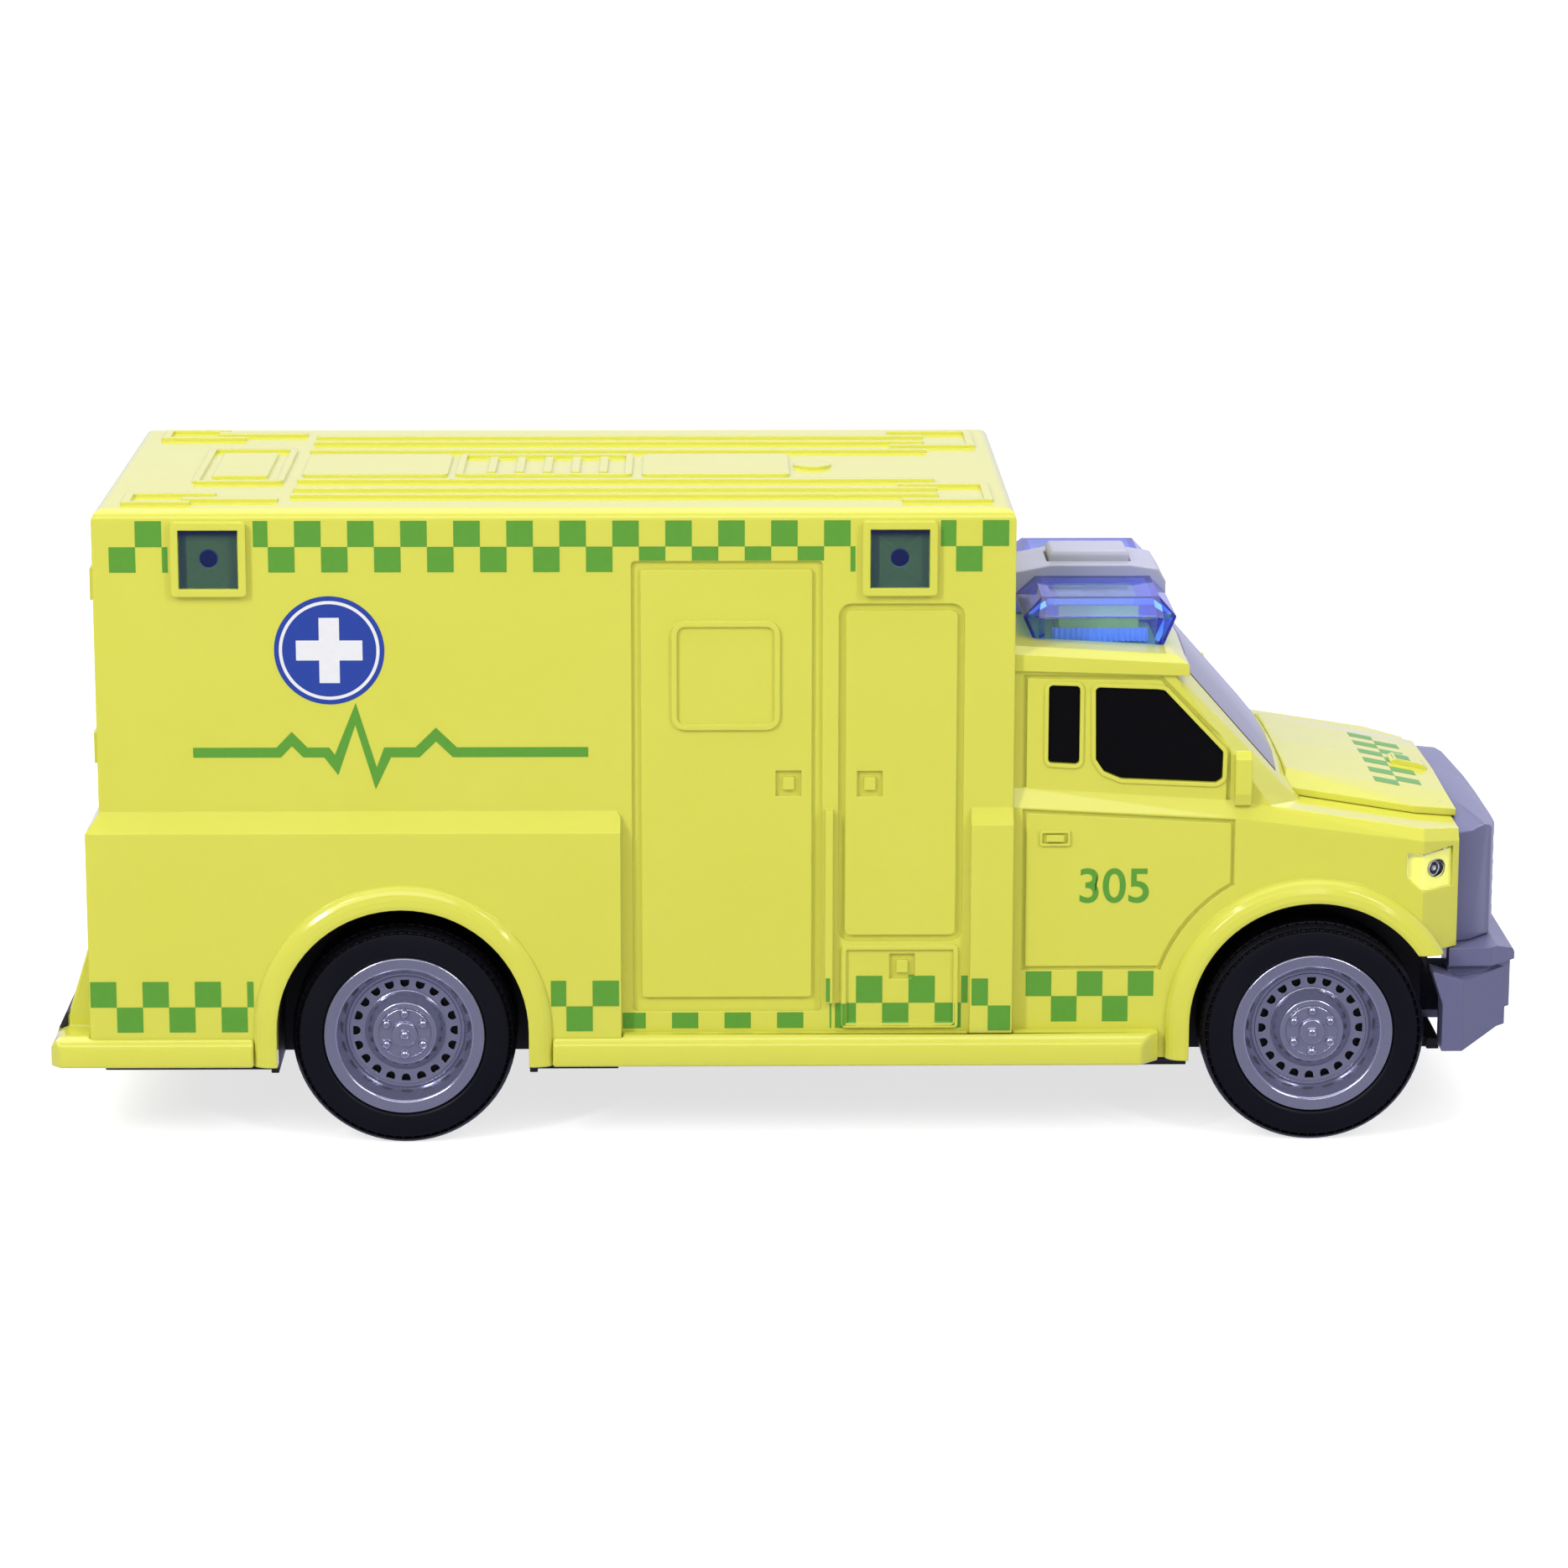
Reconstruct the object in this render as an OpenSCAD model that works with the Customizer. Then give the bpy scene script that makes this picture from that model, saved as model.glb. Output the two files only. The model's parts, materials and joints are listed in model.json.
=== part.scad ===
// Toy ambulance with a friction motor, a light bar and a sound button, in mm.
// X runs forward, Y to the left of the vehicle, Z up; the origin is on the ground under the middle.

/* [Body] */
// Length of the patient box
box_l = 172; // [160:1:184]
// Width of the patient box
box_w = 98.4; // [94:0.2:104]
// Height of the box roof above the ground
roof_z = 122.6; // [116:0.2:130]
// Height of the body's lower edge above the ground
floor_z = 16.4; // [15.6:0.2:17.6]
// Height of the belt line, where the skirt ends
belt_z = 65.3; // [62:0.1:68]
// Thickness of the moulded walls
wall = 2; // [1.6:0.1:2.4]
// Radius of the box's roof edges
roof_edge_r = 2.2; // [1:0.1:4]
// How far the skirt stands out from the box wall
skirt_out = 3; // [2.4:0.1:3.6]
// How far the running boards stand out from the skirt
board_out = 1.8; // [1:0.1:3]
// Height of the running boards and the rear step
board_h = 5.8; // [4.5:0.1:7]
// Depth of the rear step behind the box
step_d = 10; // [9:0.1:12]
// Depth of the grooves around the moulded doors
groove_d = 0.8; // [0.4:0.1:1]
// Height of the raised lines on the walls and the roof
ridge_h = 0.6; // [0.3:0.1:1]
// Gap between parts that are put together
fit_gap = 0.15; // [0.1:0.05:0.3]

/* [Side doors and lamps] */
// Width of the side door's frame
door_w = 35.7; // [32:0.1:38]
// Distance from the front of the box to the side door
door_back = 36.1; // [35:0.1:40]
// Distance from the roof to the top of the side door
door_drop = 9.8; // [8:0.1:14]
// Width of the locker door's frame
locker_w = 23.5; // [20:0.1:24.5]
// Distance from the front of the box to the locker door
locker_back = 9.5; // [9:0.1:11]
// Width of the square lamp bezels
bezel_w = 14; // [12:0.1:15]
// How far the lamp bezels stand out from the wall
bezel_out = 1.4; // [1:0.1:2]
// Distance from the ends of the box to the lamp bezels
bezel_in = 14.7; // [13:0.1:18]
// Distance from the roof to the top of the lamp bezels
bezel_drop = 2.2; // [2:0.1:4]
// Width of the square lamp lenses
lamp_w = 10.8; // [9:0.1:11.4]
// Radius of the stems that hold the lenses
stem_r = 1.6; // [1.2:0.05:2]

/* [Cab] */
// Length of the cab from the box to the front of the wings
cab_l = 85.4; // [82:0.1:90]
// Width of the cab across the doors
cab_w = 96; // [92:0.2:100]
// Height of the cab roof's edge where it meets the box
cab_roof_z = 94.6; // [92:0.1:98]
// Length of the cab roof
cab_roof_l = 33; // [30:0.1:36]
// Fall of the cab roof over its length
cab_roof_fall = 1.8; // [0.5:0.1:3]
// Height of the windscreen's lower edge
cowl_z = 69.6; // [69:0.1:72]
// Run of the windscreen's slope for each mm of height
screen_rake = 0.884; // [0.8:0.01:0.95]
// Bulge of the windscreen in its middle
screen_bulge = 1.5; // [0.5:0.1:2]
// Half width of the windscreen
screen_half = 35.4; // [33:0.1:37]
// Half width of the bonnet
bonnet_half = 34; // [32:0.1:36]
// Half width of the bonnet's flat top at its back
bonnet_top_half = 25.2; // [22:0.1:27]
// Thickness of the bonnet panel
bonnet_t = 1.6; // [1.4:0.1:2]
// Half width of the grille
grille_half = 39.5; // [36:0.1:40.5]
// Depth of the bumper in front of the wings
nose_d = 12.6; // [11.5:0.1:14]
// Depth of the grille in front of the wings
grille_d = 11.4; // [10.4:0.1:11.6]
// Height of the top of the bumper
bumper_z = 36.6; // [35:0.1:39]

/* [Wheels] */
// Outer radius of the tyres
tyre_r = 21.3; // [20.6:0.1:22]
// Width of the tyres
tyre_w = 13; // [10:0.1:14]
// Radius of the wheels inside the tyres
rim_r = 15.3; // [13.5:0.1:16.5]
// Width across the outer faces of the tyres
track_w = 98.6; // [96:0.2:101]
// Distance from the front axle to the front of the wings
front_overhang = 27.8; // [26:0.1:29]
// Distance from the back of the box to the rear axle
rear_overhang = 56.7; // [55:0.1:60]
// Gap between the tyres and the wheel arches
arch_gap = 2.5; // [2:0.1:3]
// Width of the lips around the wheel arches
lip_w = 4.4; // [3:0.1:5]
// Radius of the axles
axle_r = 1.5; // [1.2:0.05:1.8]
// Running clearance around axles and shafts
run_gap = 0.05; // [0.03:0.01:0.08]

/* [Chassis] */
// Thickness of the chassis pan
pan_t = 2.2; // [1.8:0.1:3]
// Half width of the chassis between the wheel tubs
tub_in = 31; // [29:0.1:32.5]
// Thickness of the tub walls
tub_t = 1.5; // [1.2:0.1:2]
// Thickness of the walls that carry the axles
bearing_t = 2.4; // [2:0.1:3]
// Radius of the screws' shanks
screw_r = 1.1; // [0.9:0.05:1.3]
// Radius of the screws' heads
screw_head_r = 2.4; // [2:0.05:2.8]
// Radius of the screw bosses
boss_r = 3.2; // [2.8:0.05:3.8]
// Radius of the button cells
cell_r = 5.8; // [5:0.05:6.2]
// Thickness of the button cells
cell_t = 5.4; // [4:0.1:6]
// Radius of the speaker
speaker_r = 14; // [12:0.1:16]
// Thickness of the speaker
speaker_t = 5; // [4:0.1:7]
// Thickness of the circuit boards
board_t = 1.2; // [0.8:0.1:1.6]

/* [Light bar] */
// Half width of the grey saddle
saddle_half = 10.3; // [9.6:0.1:11.5]
// Height of the saddle above the cab roof's edge
saddle_h = 10.4; // [9.5:0.1:12]
// Half width of the lenses' top from the middle of the cab
lens_top_half = 32; // [30:0.1:34]
// Height of the lenses above the cab roof's edge
lens_h = 8.2; // [7.5:0.1:9]
// Wall thickness of the lenses
lens_t = 1.2; // [1:0.1:1.5]
// Length of the button
button_l = 15.6; // [14:0.1:17]
// Width of the button
button_w = 11.8; // [11:0.1:12.6]
// Height of the button above the saddle
button_up = 2; // [1.4:0.1:3]
// Travel of the button
button_travel = 1.2; // [0.8:0.1:1.4]
// Radius of the button's stem
button_stem_r = 1.8; // [1.4:0.05:2.2]
// Radius of the lamps under the lenses
led_r = 2.5; // [1.5:0.05:2.6]

/* [Friction motor] */
// Module of the gears
gear_m = 0.6; // [0.55:0.01:0.65]
// Teeth of the gear on the rear axle
axle_teeth = 24; // [22:1:25]
// Teeth of both small gears
pinion_teeth = 12; // [12:1:13]
// Teeth of the large gear of the cluster
cluster_teeth = 26; // [24:1:27]
// Radius of the flywheel
flywheel_r = 8.6; // [7:0.1:9]
// Radius of the motor's shafts
shaft_r = 0.8; // [0.6:0.05:1]
// Thickness of the motor's housing
motor_wall = 1.3; // [1:0.1:1.6]

/* [Hidden] */

yellow = "#d8d94e";
grey = "#b4b4c8";
black = "#26262c";
dark_glass = "#17171c";
blue_lens = "#3a50d8";
clear_lens = "#e8eef2";
silver = "#b8b6d0";
rubber = "#202024";
steel = "#a8aab0";
brass = "#c8a850";
board_green = "#2f7a44";
white = "#f0f0f0";

x_rear = -(step_d + box_l + cab_l + nose_d) / 2;
box_x0 = x_rear + step_d;
box_x1 = box_x0 + box_l;
cab_x1 = box_x1 + cab_l;
nose_x = cab_x1 + nose_d;
half_box = box_w / 2;
half_skirt = half_box + skirt_out;
half_board = half_skirt + board_out;
half_cab = cab_w / 2;
half_glass = half_cab - 1.6;
half_roof = half_glass + 0.8;
rear_axle_x = box_x0 + rear_overhang;
front_axle_x = cab_x1 - front_overhang;
axle_z = tyre_r;
arch_r = tyre_r + arch_gap;
arch_z = axle_z + 2;
skirt_x0 = box_x0 - 2.4;
skirt_x1 = rear_axle_x + arch_r + 17.5;
pan_z = floor_z - pan_t;
board_x1 = box_x1 + 28;
sill_z = floor_z + board_h;

// Side door, locker and lamp places
door_x1 = box_x1 - door_back;
door_x0 = door_x1 - door_w;
door_z0 = floor_z + 9.6;
door_z1 = roof_z - door_drop;
locker_x1 = box_x1 - locker_back;
locker_x0 = locker_x1 - locker_w;
locker_z0 = floor_z + 23.2;
locker_z1 = roof_z - door_drop - 8.1;
bezel_z = roof_z - bezel_drop - bezel_w;
bezel_rear_x = box_x0 + bezel_in;
bezel_front_x = box_x1 - bezel_in - bezel_w;
pocket_w = lamp_w + 2 * fit_gap;
pocket_d = 0.6;

// Cab lines
roof_crown = 0.9;
roof_slope = -cab_roof_fall / cab_roof_l;
visor_x = box_x1 + cab_roof_l;
visor_z = cab_roof_z - cab_roof_fall;
visor_low = visor_z - 2.2;
pillar_rake = screen_rake - 0.14;
pillar_x = visor_x - 3;
screen_x = visor_x - 0.7;
cowl_x = screen_x + screen_rake * (visor_low - belt_z);
screen_z1 = visor_low - 1.4;
ledge_h = 3.6;
door_fall = 2.1;
wing_fall = 6.8;
corner_x = cab_x1 - 7.4;
corner_in = 5.4;
wing_mid_x = box_x1 + 41.7;
wing_mid_z = belt_z + ledge_h - 2.6;
wing_corner_z = belt_z - 4.6;
wing_front_z = belt_z - 5.7;
bonnet_x0 = cowl_x - 2.1;
bonnet_x1 = cab_x1 + 0.9;
bonnet_corner_x = corner_x - 0.2;
bonnet_lip = 1.3;
bonnet_rise = 2;
scoop_half = 3;
door_x = box_x1 + 2.2;
door_foot_z = floor_z + 17.6;
door_arc_r = arch_r + lip_w + 3.2;
window_r = 0.8;
frame_w = 0.8;
frame_h = 0.35;

// Light bar places
bar_x0 = box_x1 + 2.2;
bar_x1 = bar_x0 + 29.4;
bar_mid = (bar_x0 + bar_x1) / 2;
saddle_z = cab_roof_z + saddle_h;
saddle_lip = 1.8;
lens_z = cab_roof_z + lens_h;
button_x = bar_mid;
button_flange = 0.9;
flange_t = 1;
button_top = saddle_z + button_up;
flange_z = saddle_z - saddle_lip - 0.1 - flange_t;
pocket_z = flange_z - button_travel - 0.4;
dome_h = 3;
bar_board_z = cab_roof_z - 14;
led_y = (saddle_half + lens_top_half) / 2;
lens_mid_z = lens_z - 3.6;
plateau_z = lens_z - lens_t - 0.8;
plateau_in = saddle_half + 2.7;
plateau_out = lens_top_half - 0.6;
bar_post_y = lens_top_half + 2;
bar_board_half = bar_post_y + 3;
bar_board_w = 16;

// Motor places
gear_ang = 25;
gear_add = 0.9;
gear_slack = 0.1;
axle_pitch = gear_m * axle_teeth / 2;
pinion_pitch = gear_m * pinion_teeth / 2;
cluster_pitch = gear_m * cluster_teeth / 2;
cluster_dir = 55;
cluster_x = rear_axle_x + (axle_pitch + pinion_pitch) * cos(cluster_dir);
cluster_z = axle_z + (axle_pitch + pinion_pitch) * sin(cluster_dir);
flywheel_x = cluster_x + cluster_pitch + pinion_pitch;
flywheel_z = cluster_z;
motor_y0 = -8;
motor_y1 = 12;
motor_gap = 0.7;
ear_z = floor_z + 6;
ear_t = 2;
ear_reach = motor_gap + motor_wall + 4.4;
motor_ear_x0 = rear_axle_x - axle_pitch - gear_m - ear_reach;
motor_ear_x1 = flywheel_x + flywheel_r + ear_reach;

// Plan of the chassis and of what it carries
pan_x0 = skirt_x0 + wall + 0.6;
pan_x1 = cab_x1 - 1.6;
pan_half = half_cab - 2.4;
pan_edge_t = 1;
tub_out_rear = half_skirt - wall - 0.6;
tub_out_front = half_cab - wall - 0.5;
cell_pitch = 2 * cell_r + 0.6;
bay_l = 3 * cell_pitch + 1.6;
bay_w = 2 * cell_r + 1;
door_lip = 2;
door_tongue = 3.6;
battery_door_t = 1.8;
battery_head_h = 1.1;
bay_screw = bay_l / 2 + 4;
// The battery bay lies midway between the motor and the front of the box
battery_x = (motor_ear_x1 + boss_r + box_x1 - wall + bay_l / 2 + door_lip - bay_screw - door_tongue) / 2;
battery_screw_x = battery_x + bay_screw;
bay_z = pan_z + battery_door_t + fit_gap;
bay_top = bay_z + cell_t + 1;
sound_z = bay_top + 5;
sound_l = 40;
sound_w = 26;
speaker_x = box_x1 + 18;
speaker_wall = 1.4;
box_boss_x = [box_x0 + 14, skirt_x1 + 10];
box_boss_y = half_box - wall - boss_r - 2.5;
cab_boss_x = box_x1 + 18;
cab_boss_y = half_cab - wall - boss_r - 2.5;
screw_places = [[box_boss_x[0], box_boss_y], [box_boss_x[1], box_boss_y], [cab_boss_x, cab_boss_y]];
head_h = 1.6;
seat_h = 2.4;
screw_l = 9;

// Height at x on the line from a to b
function line_at(x, a, b) = a[1] + (b[1] - a[1]) * (x - a[0]) / (b[0] - a[0]);
// Height of the wing's top above a place along the cab
function wing_at(x) = x < corner_x
    ? line_at(x, [wing_mid_x, wing_mid_z], [corner_x, wing_corner_z])
    : line_at(x, [corner_x, wing_corner_z], [cab_x1, wing_front_z]);
function arc(cx, cy, r, a0, a1, n) = [for (i = [0 : n]) [cx + r * cos(a0 + (a1 - a0) * i / n),
    cy + r * sin(a0 + (a1 - a0) * i / n)]];
function rounded(x0, z0, x1, z1, r) = concat(arc(x1 - r, z1 - r, r, 0, 90, 5),
    arc(x0 + r, z1 - r, r, 90, 180, 5), arc(x0 + r, z0 + r, r, 180, 270, 5),
    arc(x1 - r, z0 + r, r, 270, 360, 5));
function roof_at(x) = cab_roof_z + roof_crown + roof_slope * (x - box_x1);

// A shape in the X-Z plane, made solid from y0 to y1
module along_y(y0, y1) translate([0, y1, 0]) rotate([90, 0, 0]) linear_extrude(y1 - y0) children();

// A shape in the Y-Z plane, made solid from x0 to x1
module along_x(x0, x1) translate([x0, 0, 0]) rotate([90, 0, 90]) linear_extrude(x1 - x0) children();

module along_z(z0, z1) translate([0, 0, z0]) linear_extrude(z1 - z0) children();

module block(x0, x1, y0, y1, z0, z1) translate([x0, y0, z0]) cube([x1 - x0, y1 - y0, z1 - z0]);

module both_sides() {
    children();
    mirror([0, 1, 0]) children();
}

// A round bar along Y
module rod(x, z, r, y0, y1) translate([x, y0, z]) rotate([-90, 0, 0]) cylinder(h = y1 - y0, r = r, $fn = 48);

module post(x, y, r, z0, z1) translate([x, y, z0]) cylinder(h = z1 - z0, r = r, $fn = 40);

module ring2d(x0, z0, x1, z1, r, w) difference() {
    polygon(rounded(x0, z0, x1, z1, r));
    polygon(rounded(x0 + w, z0 + w, x1 - w, z1 - w, max(r - w, 0.3)));
}

// The patient box

module box_form() intersection() {
    along_x(box_x0, box_x1) polygon(concat([[half_box, floor_z]],
        arc(half_box - roof_edge_r, roof_z - roof_edge_r, roof_edge_r, 0, 90, 7),
        arc(-half_box + roof_edge_r, roof_z - roof_edge_r, roof_edge_r, 90, 180, 7), [[-half_box,
            floor_z]]));
    along_y(-half_box, half_box) polygon(concat([[box_x1, floor_z]],
        arc(box_x1 - roof_edge_r, roof_z - roof_edge_r, roof_edge_r, 0, 90, 7),
        arc(box_x0 + roof_edge_r, roof_z - roof_edge_r, roof_edge_r, 90, 180, 7), [[box_x0, floor_z]]));
}

module skirt_form() intersection() {
    along_x(skirt_x0, skirt_x1) polygon([[half_skirt, floor_z], [half_skirt, belt_z - 3.8],
        [half_box - 0.4, belt_z + 0.3], [-half_box + 0.4, belt_z + 0.3], [-half_skirt, belt_z - 3.8],
        [-half_skirt, floor_z]]);
    along_y(-half_skirt, half_skirt) polygon([[skirt_x1, floor_z], [skirt_x1, belt_z - 1.2],
        [skirt_x1 - 1, belt_z + 0.3], [box_x0 + 0.4, belt_z + 0.3], [skirt_x0, belt_z - 3.8],
        [skirt_x0, floor_z]]);
}

// A lip around one wheel arch, standing out from the wall plane to the left
module arch_lip(x, wall_y, out) {
    crest = arch_r + 0.8;
    section = concat([[arch_r - 0.6, -wall], [arch_r - 0.6, out * 0.7], [arch_r - 0.2, out * 0.92]],
        [for (a = [0 : 18 : 90]) [crest + (arch_r + lip_w - crest) * sin(a), out * cos(a)]],
        [[arch_r + lip_w, -wall]]);
    translate([x, wall_y, arch_z]) {
        rotate([-90, 0, 0]) rotate([0, 0, 180]) rotate_extrude(angle = 180, $fn = 72) polygon(section);
        for (side = [-1, 1]) translate([0, 0, floor_z - arch_z]) linear_extrude(arch_z - floor_z)
            polygon([for (p = section) [side * p[0], p[1]]]);
    }
}

module arch_cut(x, y0, y1) both_sides() {
    rod(x, arch_z, arch_r, y0, y1);
    block(x - arch_r, x + arch_r, y0, y1, pan_z - 1, arch_z);
}

// Raised pieces on the left wall of the box
module wall_relief() {
    along_y(half_box - 0.2, half_box + ridge_h) {
        ring2d(door_x0 + 7.4, belt_z + 15.4, door_x1 - 7.9, belt_z + 36.2, 2.6, 1.1);
        ring2d(locker_x0 + 0.7, floor_z + 6.4, locker_x1 - 0.7, floor_z + 22.6, 0.8, 0.9);
    }
    along_y(half_box - 0.2, half_box + bezel_out) for (x = [bezel_rear_x, bezel_front_x])
        polygon(rounded(x, bezel_z, x + bezel_w, bezel_z + bezel_w, 0.8));
    block(door_x1 + 0.6, door_x1 + 2.1, half_box - 0.2, half_box + 1.8, floor_z + 11.6, belt_z);
    along_x(box_x1 - 8, box_x1) polygon([[half_box - 0.5, floor_z], [half_box + 2.2, floor_z],
        [half_box + 2.2, belt_z - 2.6], [half_box, belt_z + 0.3], [half_box - 0.5, belt_z + 0.3]]);
}

// Grooves and pockets in the left wall of the box
module wall_cuts() {
    along_y(half_box - groove_d, half_box + 0.1) {
        difference() {
            polygon(rounded(door_x0, door_z0, door_x1, door_z1, 0.8));
            polygon(rounded(door_x0 + 1.7, door_z0 + 2.8, door_x1 - 1.9, door_z1 - 1.6, 0.6));
        }
        ring2d(locker_x0, locker_z0, locker_x1, locker_z1, 2.4, 1.3);
        handle_pocket(door_x1 - 8.7, belt_z + 2.6);
        handle_pocket(locker_x0 + 3.5, belt_z + 2.5);
        handle_pocket(locker_x0 + 9.8, floor_z + 15.9);
    }
    for (x = [bezel_rear_x, bezel_front_x]) {
        translate([x + bezel_w / 2, 0, bezel_z + bezel_w / 2]) block(-pocket_w / 2, pocket_w / 2,
            half_box - pocket_d, half_box + 3, -pocket_w / 2, pocket_w / 2);
        rod(x + bezel_w / 2, bezel_z + bezel_w / 2, stem_r + fit_gap, half_box - wall - 1, half_box);
    }
}

module handle_pocket(x, z) translate([x, z]) difference() {
    square([4.8, 4.9]);
    translate([1.3, 1.2]) square([2.2, 2.5]);
}

// Moulded doors on the back of the box
module rear_relief() {
    along_x(box_x0 - ridge_h, box_x0 + 0.2) for (side = [-1, 1]) scale([side, 1])
        ring2d(8, belt_z + 15.4, 34, belt_z + 36.2, 2.6, 1.1);
    along_x(box_x0 - 1.2, box_x0 + 0.2) for (z = [belt_z + 8, roof_z - 18]) for (side = [-1, 1])
        translate([side * 41.8 - 1.6, z]) square([3.2, 6]);
}

module rear_cuts() {
    along_x(box_x0 - 0.1, box_x0 + groove_d) for (side = [-1, 1]) scale([side, 1]) {
        ring2d(0.9, belt_z + 2.6, 40, roof_z - 10, 1.2, 1.4);
        translate([3.4, belt_z + 9]) square([2.6, 5]);
    }
    along_x(skirt_x0 - 0.1, skirt_x0 + groove_d) for (side = [-1, 1]) scale([side, 1])
        ring2d(0.9, floor_z + 24, 40, belt_z - 5.5, 1.2, 1.4);
}

module roof_relief() along_z(roof_z - 0.2, roof_z + ridge_h) {
    hatch_x = box_x0 + 16;
    ribs_x1 = box_x1 - 14;
    for (side = [-1, 1]) scale([1, side]) {
        translate([box_x0 + 5, 33]) square([17, 1.6]);
        translate([box_x0 + 5, 33]) square([1.6, 11]);
        translate([box_x0 + 5, 42.4]) square([13, 1.6]);
        translate([box_x1 - 21, 23]) square([17, 1.6]);
        translate([box_x1 - 5.6, 23]) square([1.6, 19]);
        translate([box_x1 - 21, 40.4]) square([17, 1.6]);
        for (y = [17, 27.4, 34.4]) translate([hatch_x + 20, y]) square([ribs_x1 - hatch_x - 20, 1.6]);
        translate([hatch_x, 38]) square([18, 2.6]);
    }
    ring2d(hatch_x, -20, hatch_x + 17.5, 20, 1.6, 1.4);
    translate([hatch_x + 3.4, -14]) square([10.6, 28]);
    polygon(rounded(hatch_x + 20.5, -12.5, hatch_x + 48.5, 12.5, 1.4));
    ring2d(hatch_x + 50, -12.5, hatch_x + 84, 12.5, 1.4, 1.4);
    for (x = [hatch_x + 56 : 5.4 : hatch_x + 79]) translate([x, -9]) square([1.6, 18]);
    polygon(rounded(hatch_x + 86, -12.5, hatch_x + 114.4, 12.5, 1.4));
    translate([hatch_x + 119, 0]) circle(r = 3.7, $fn = 32);
}

module box_boss(x, wall_y) {
    post(x, box_boss_y, boss_r, floor_z + seat_h, floor_z + 26);
    block(x - 1, x + 1, box_boss_y, wall_y - wall / 2, floor_z + 13, floor_z + 26);
}

module box_shell() color(yellow) difference() {
    union() {
        difference() {
            union() {
                box_form();
                skirt_form();
                both_sides() {
                    wall_relief();
                    arch_lip(rear_axle_x, half_skirt, board_out);
                }
                rear_relief();
                roof_relief();
            }
            block(box_x0 + wall, box_x1 - wall, -half_box + wall, half_box - wall, pan_z, roof_z - wall);
            block(skirt_x0 + wall, skirt_x1 - wall, -half_skirt + wall, half_skirt - wall, pan_z,
                belt_z - 5.4);
            both_sides() wall_cuts();
            rear_cuts();
            arch_cut(rear_axle_x, half_box - wall - 2, half_board + 2);
        }
        both_sides() box_boss(box_boss_x[0], half_skirt);
        both_sides() box_boss(box_boss_x[1], half_box);
    }
    both_sides() for (x = box_boss_x) post(x, box_boss_y, screw_r + run_gap, floor_z - 1,
        floor_z + seat_h + screw_l);
}

// The cab

// The smallest solid that holds all of the points
module solid_of(points) hull() polyhedron(points = points, faces = [[for (i = [0 : len(points) - 1]) i]]);

function mirrored(points) = concat(points, [for (p = points) [p[0], -p[1], p[2]]]);

// The cab below its windows, made smaller by g on every side
module cab_lower(g, x0, z) solid_of(mirrored([[x0, half_cab - g, z], [x0, half_cab - g, belt_z - g],
    [wing_mid_x, half_cab - g, belt_z - door_fall - g], [corner_x - g / 2, half_cab - g,
    belt_z - wing_fall - g],
    [corner_x - g / 2, half_cab - g, z], [cab_x1 - g, half_cab - corner_in - g / 2,
    belt_z - wing_fall - 1.1 - g],
    [cab_x1 - g, half_cab - corner_in - g / 2, z], [x0, half_glass - g, belt_z + ledge_h - g],
    [wing_mid_x, half_glass - g, wing_mid_z - g], [corner_x - g / 2, half_glass - g, wing_corner_z - g],
    [cab_x1 - g, half_cab - corner_in - 1.6 - g / 2, wing_front_z - g]]));

function screen_at(z) = screen_x + screen_rake * (visor_low - z);
function pillar_at(z) = pillar_x + pillar_rake * (visor_low - z);

// The cab above its doors, made smaller by g on every side
module cab_upper(g, x0, z0, z1) solid_of(mirrored([for (z = [z0, z1]) each [[x0, half_glass - g, z],
    [pillar_at(z) - 1.2 * g, half_glass - g, z], [screen_at(z) - 1.35 * g, screen_half, z],
    [screen_at(z) + 0.75 * screen_bulge - 1.35 * g, screen_half / 2, z],
    [screen_at(z) + screen_bulge - 1.35 * g, 0, z]]]));

module cab_cornice() hull() {
    along_y(-half_roof, half_roof) polygon([[box_x1, cab_roof_z - 3.2], [box_x1, cab_roof_z],
        [visor_x - 0.4, visor_z], [visor_x, visor_z - 0.5], [visor_x, visor_z - 2.4]]);
    along_y(-half_roof + 4, half_roof - 4) polygon([[box_x1, cab_roof_z], [box_x1, roof_at(box_x1)],
        [visor_x - 2.4, roof_at(visor_x - 2.4)], [visor_x - 2.4, visor_z - 1]]);
}

small_window = [[box_x1 + 6.6, belt_z + 8.3], [box_x1 + 12.5, belt_z + 8], [box_x1 + 12.5, cab_roof_z - 6.2],
    [box_x1 + 6.6, cab_roof_z - 6]];
large_window = [[box_x1 + 15.4, cab_roof_z - 6.4], [box_x1 + 15.6, belt_z + 9], [box_x1 + 17.2,
    belt_z + 6.6],
    [box_x1 + 20.5, belt_z + 5.2], [wing_mid_x - 3.3, belt_z + 4.4], [wing_mid_x - 2.1, belt_z + 5.2],
    [wing_mid_x - 2, belt_z + 10.4], [visor_x - 4.6, cab_roof_z - 7], [visor_x - 6, cab_roof_z - 6.8]];

// A window's outline with rounded corners
module window_plan(points) offset(r = window_r, $fn = 24) offset(delta = -window_r) polygon(points);

// The lower edge of the cab door, around the wheel arch up to its front edge
door_arc_a0 = 180 - asin((door_foot_z - arch_z) / door_arc_r);
door_arc_a1 = 180 - acos((front_axle_x - wing_mid_x) / door_arc_r);
door_arc = [for (i = [0 : 8]) let (a = door_arc_a0 + (door_arc_a1 - door_arc_a0) * i / 8)
    [front_axle_x + door_arc_r * cos(a), arch_z + door_arc_r * sin(a)]];

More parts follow.
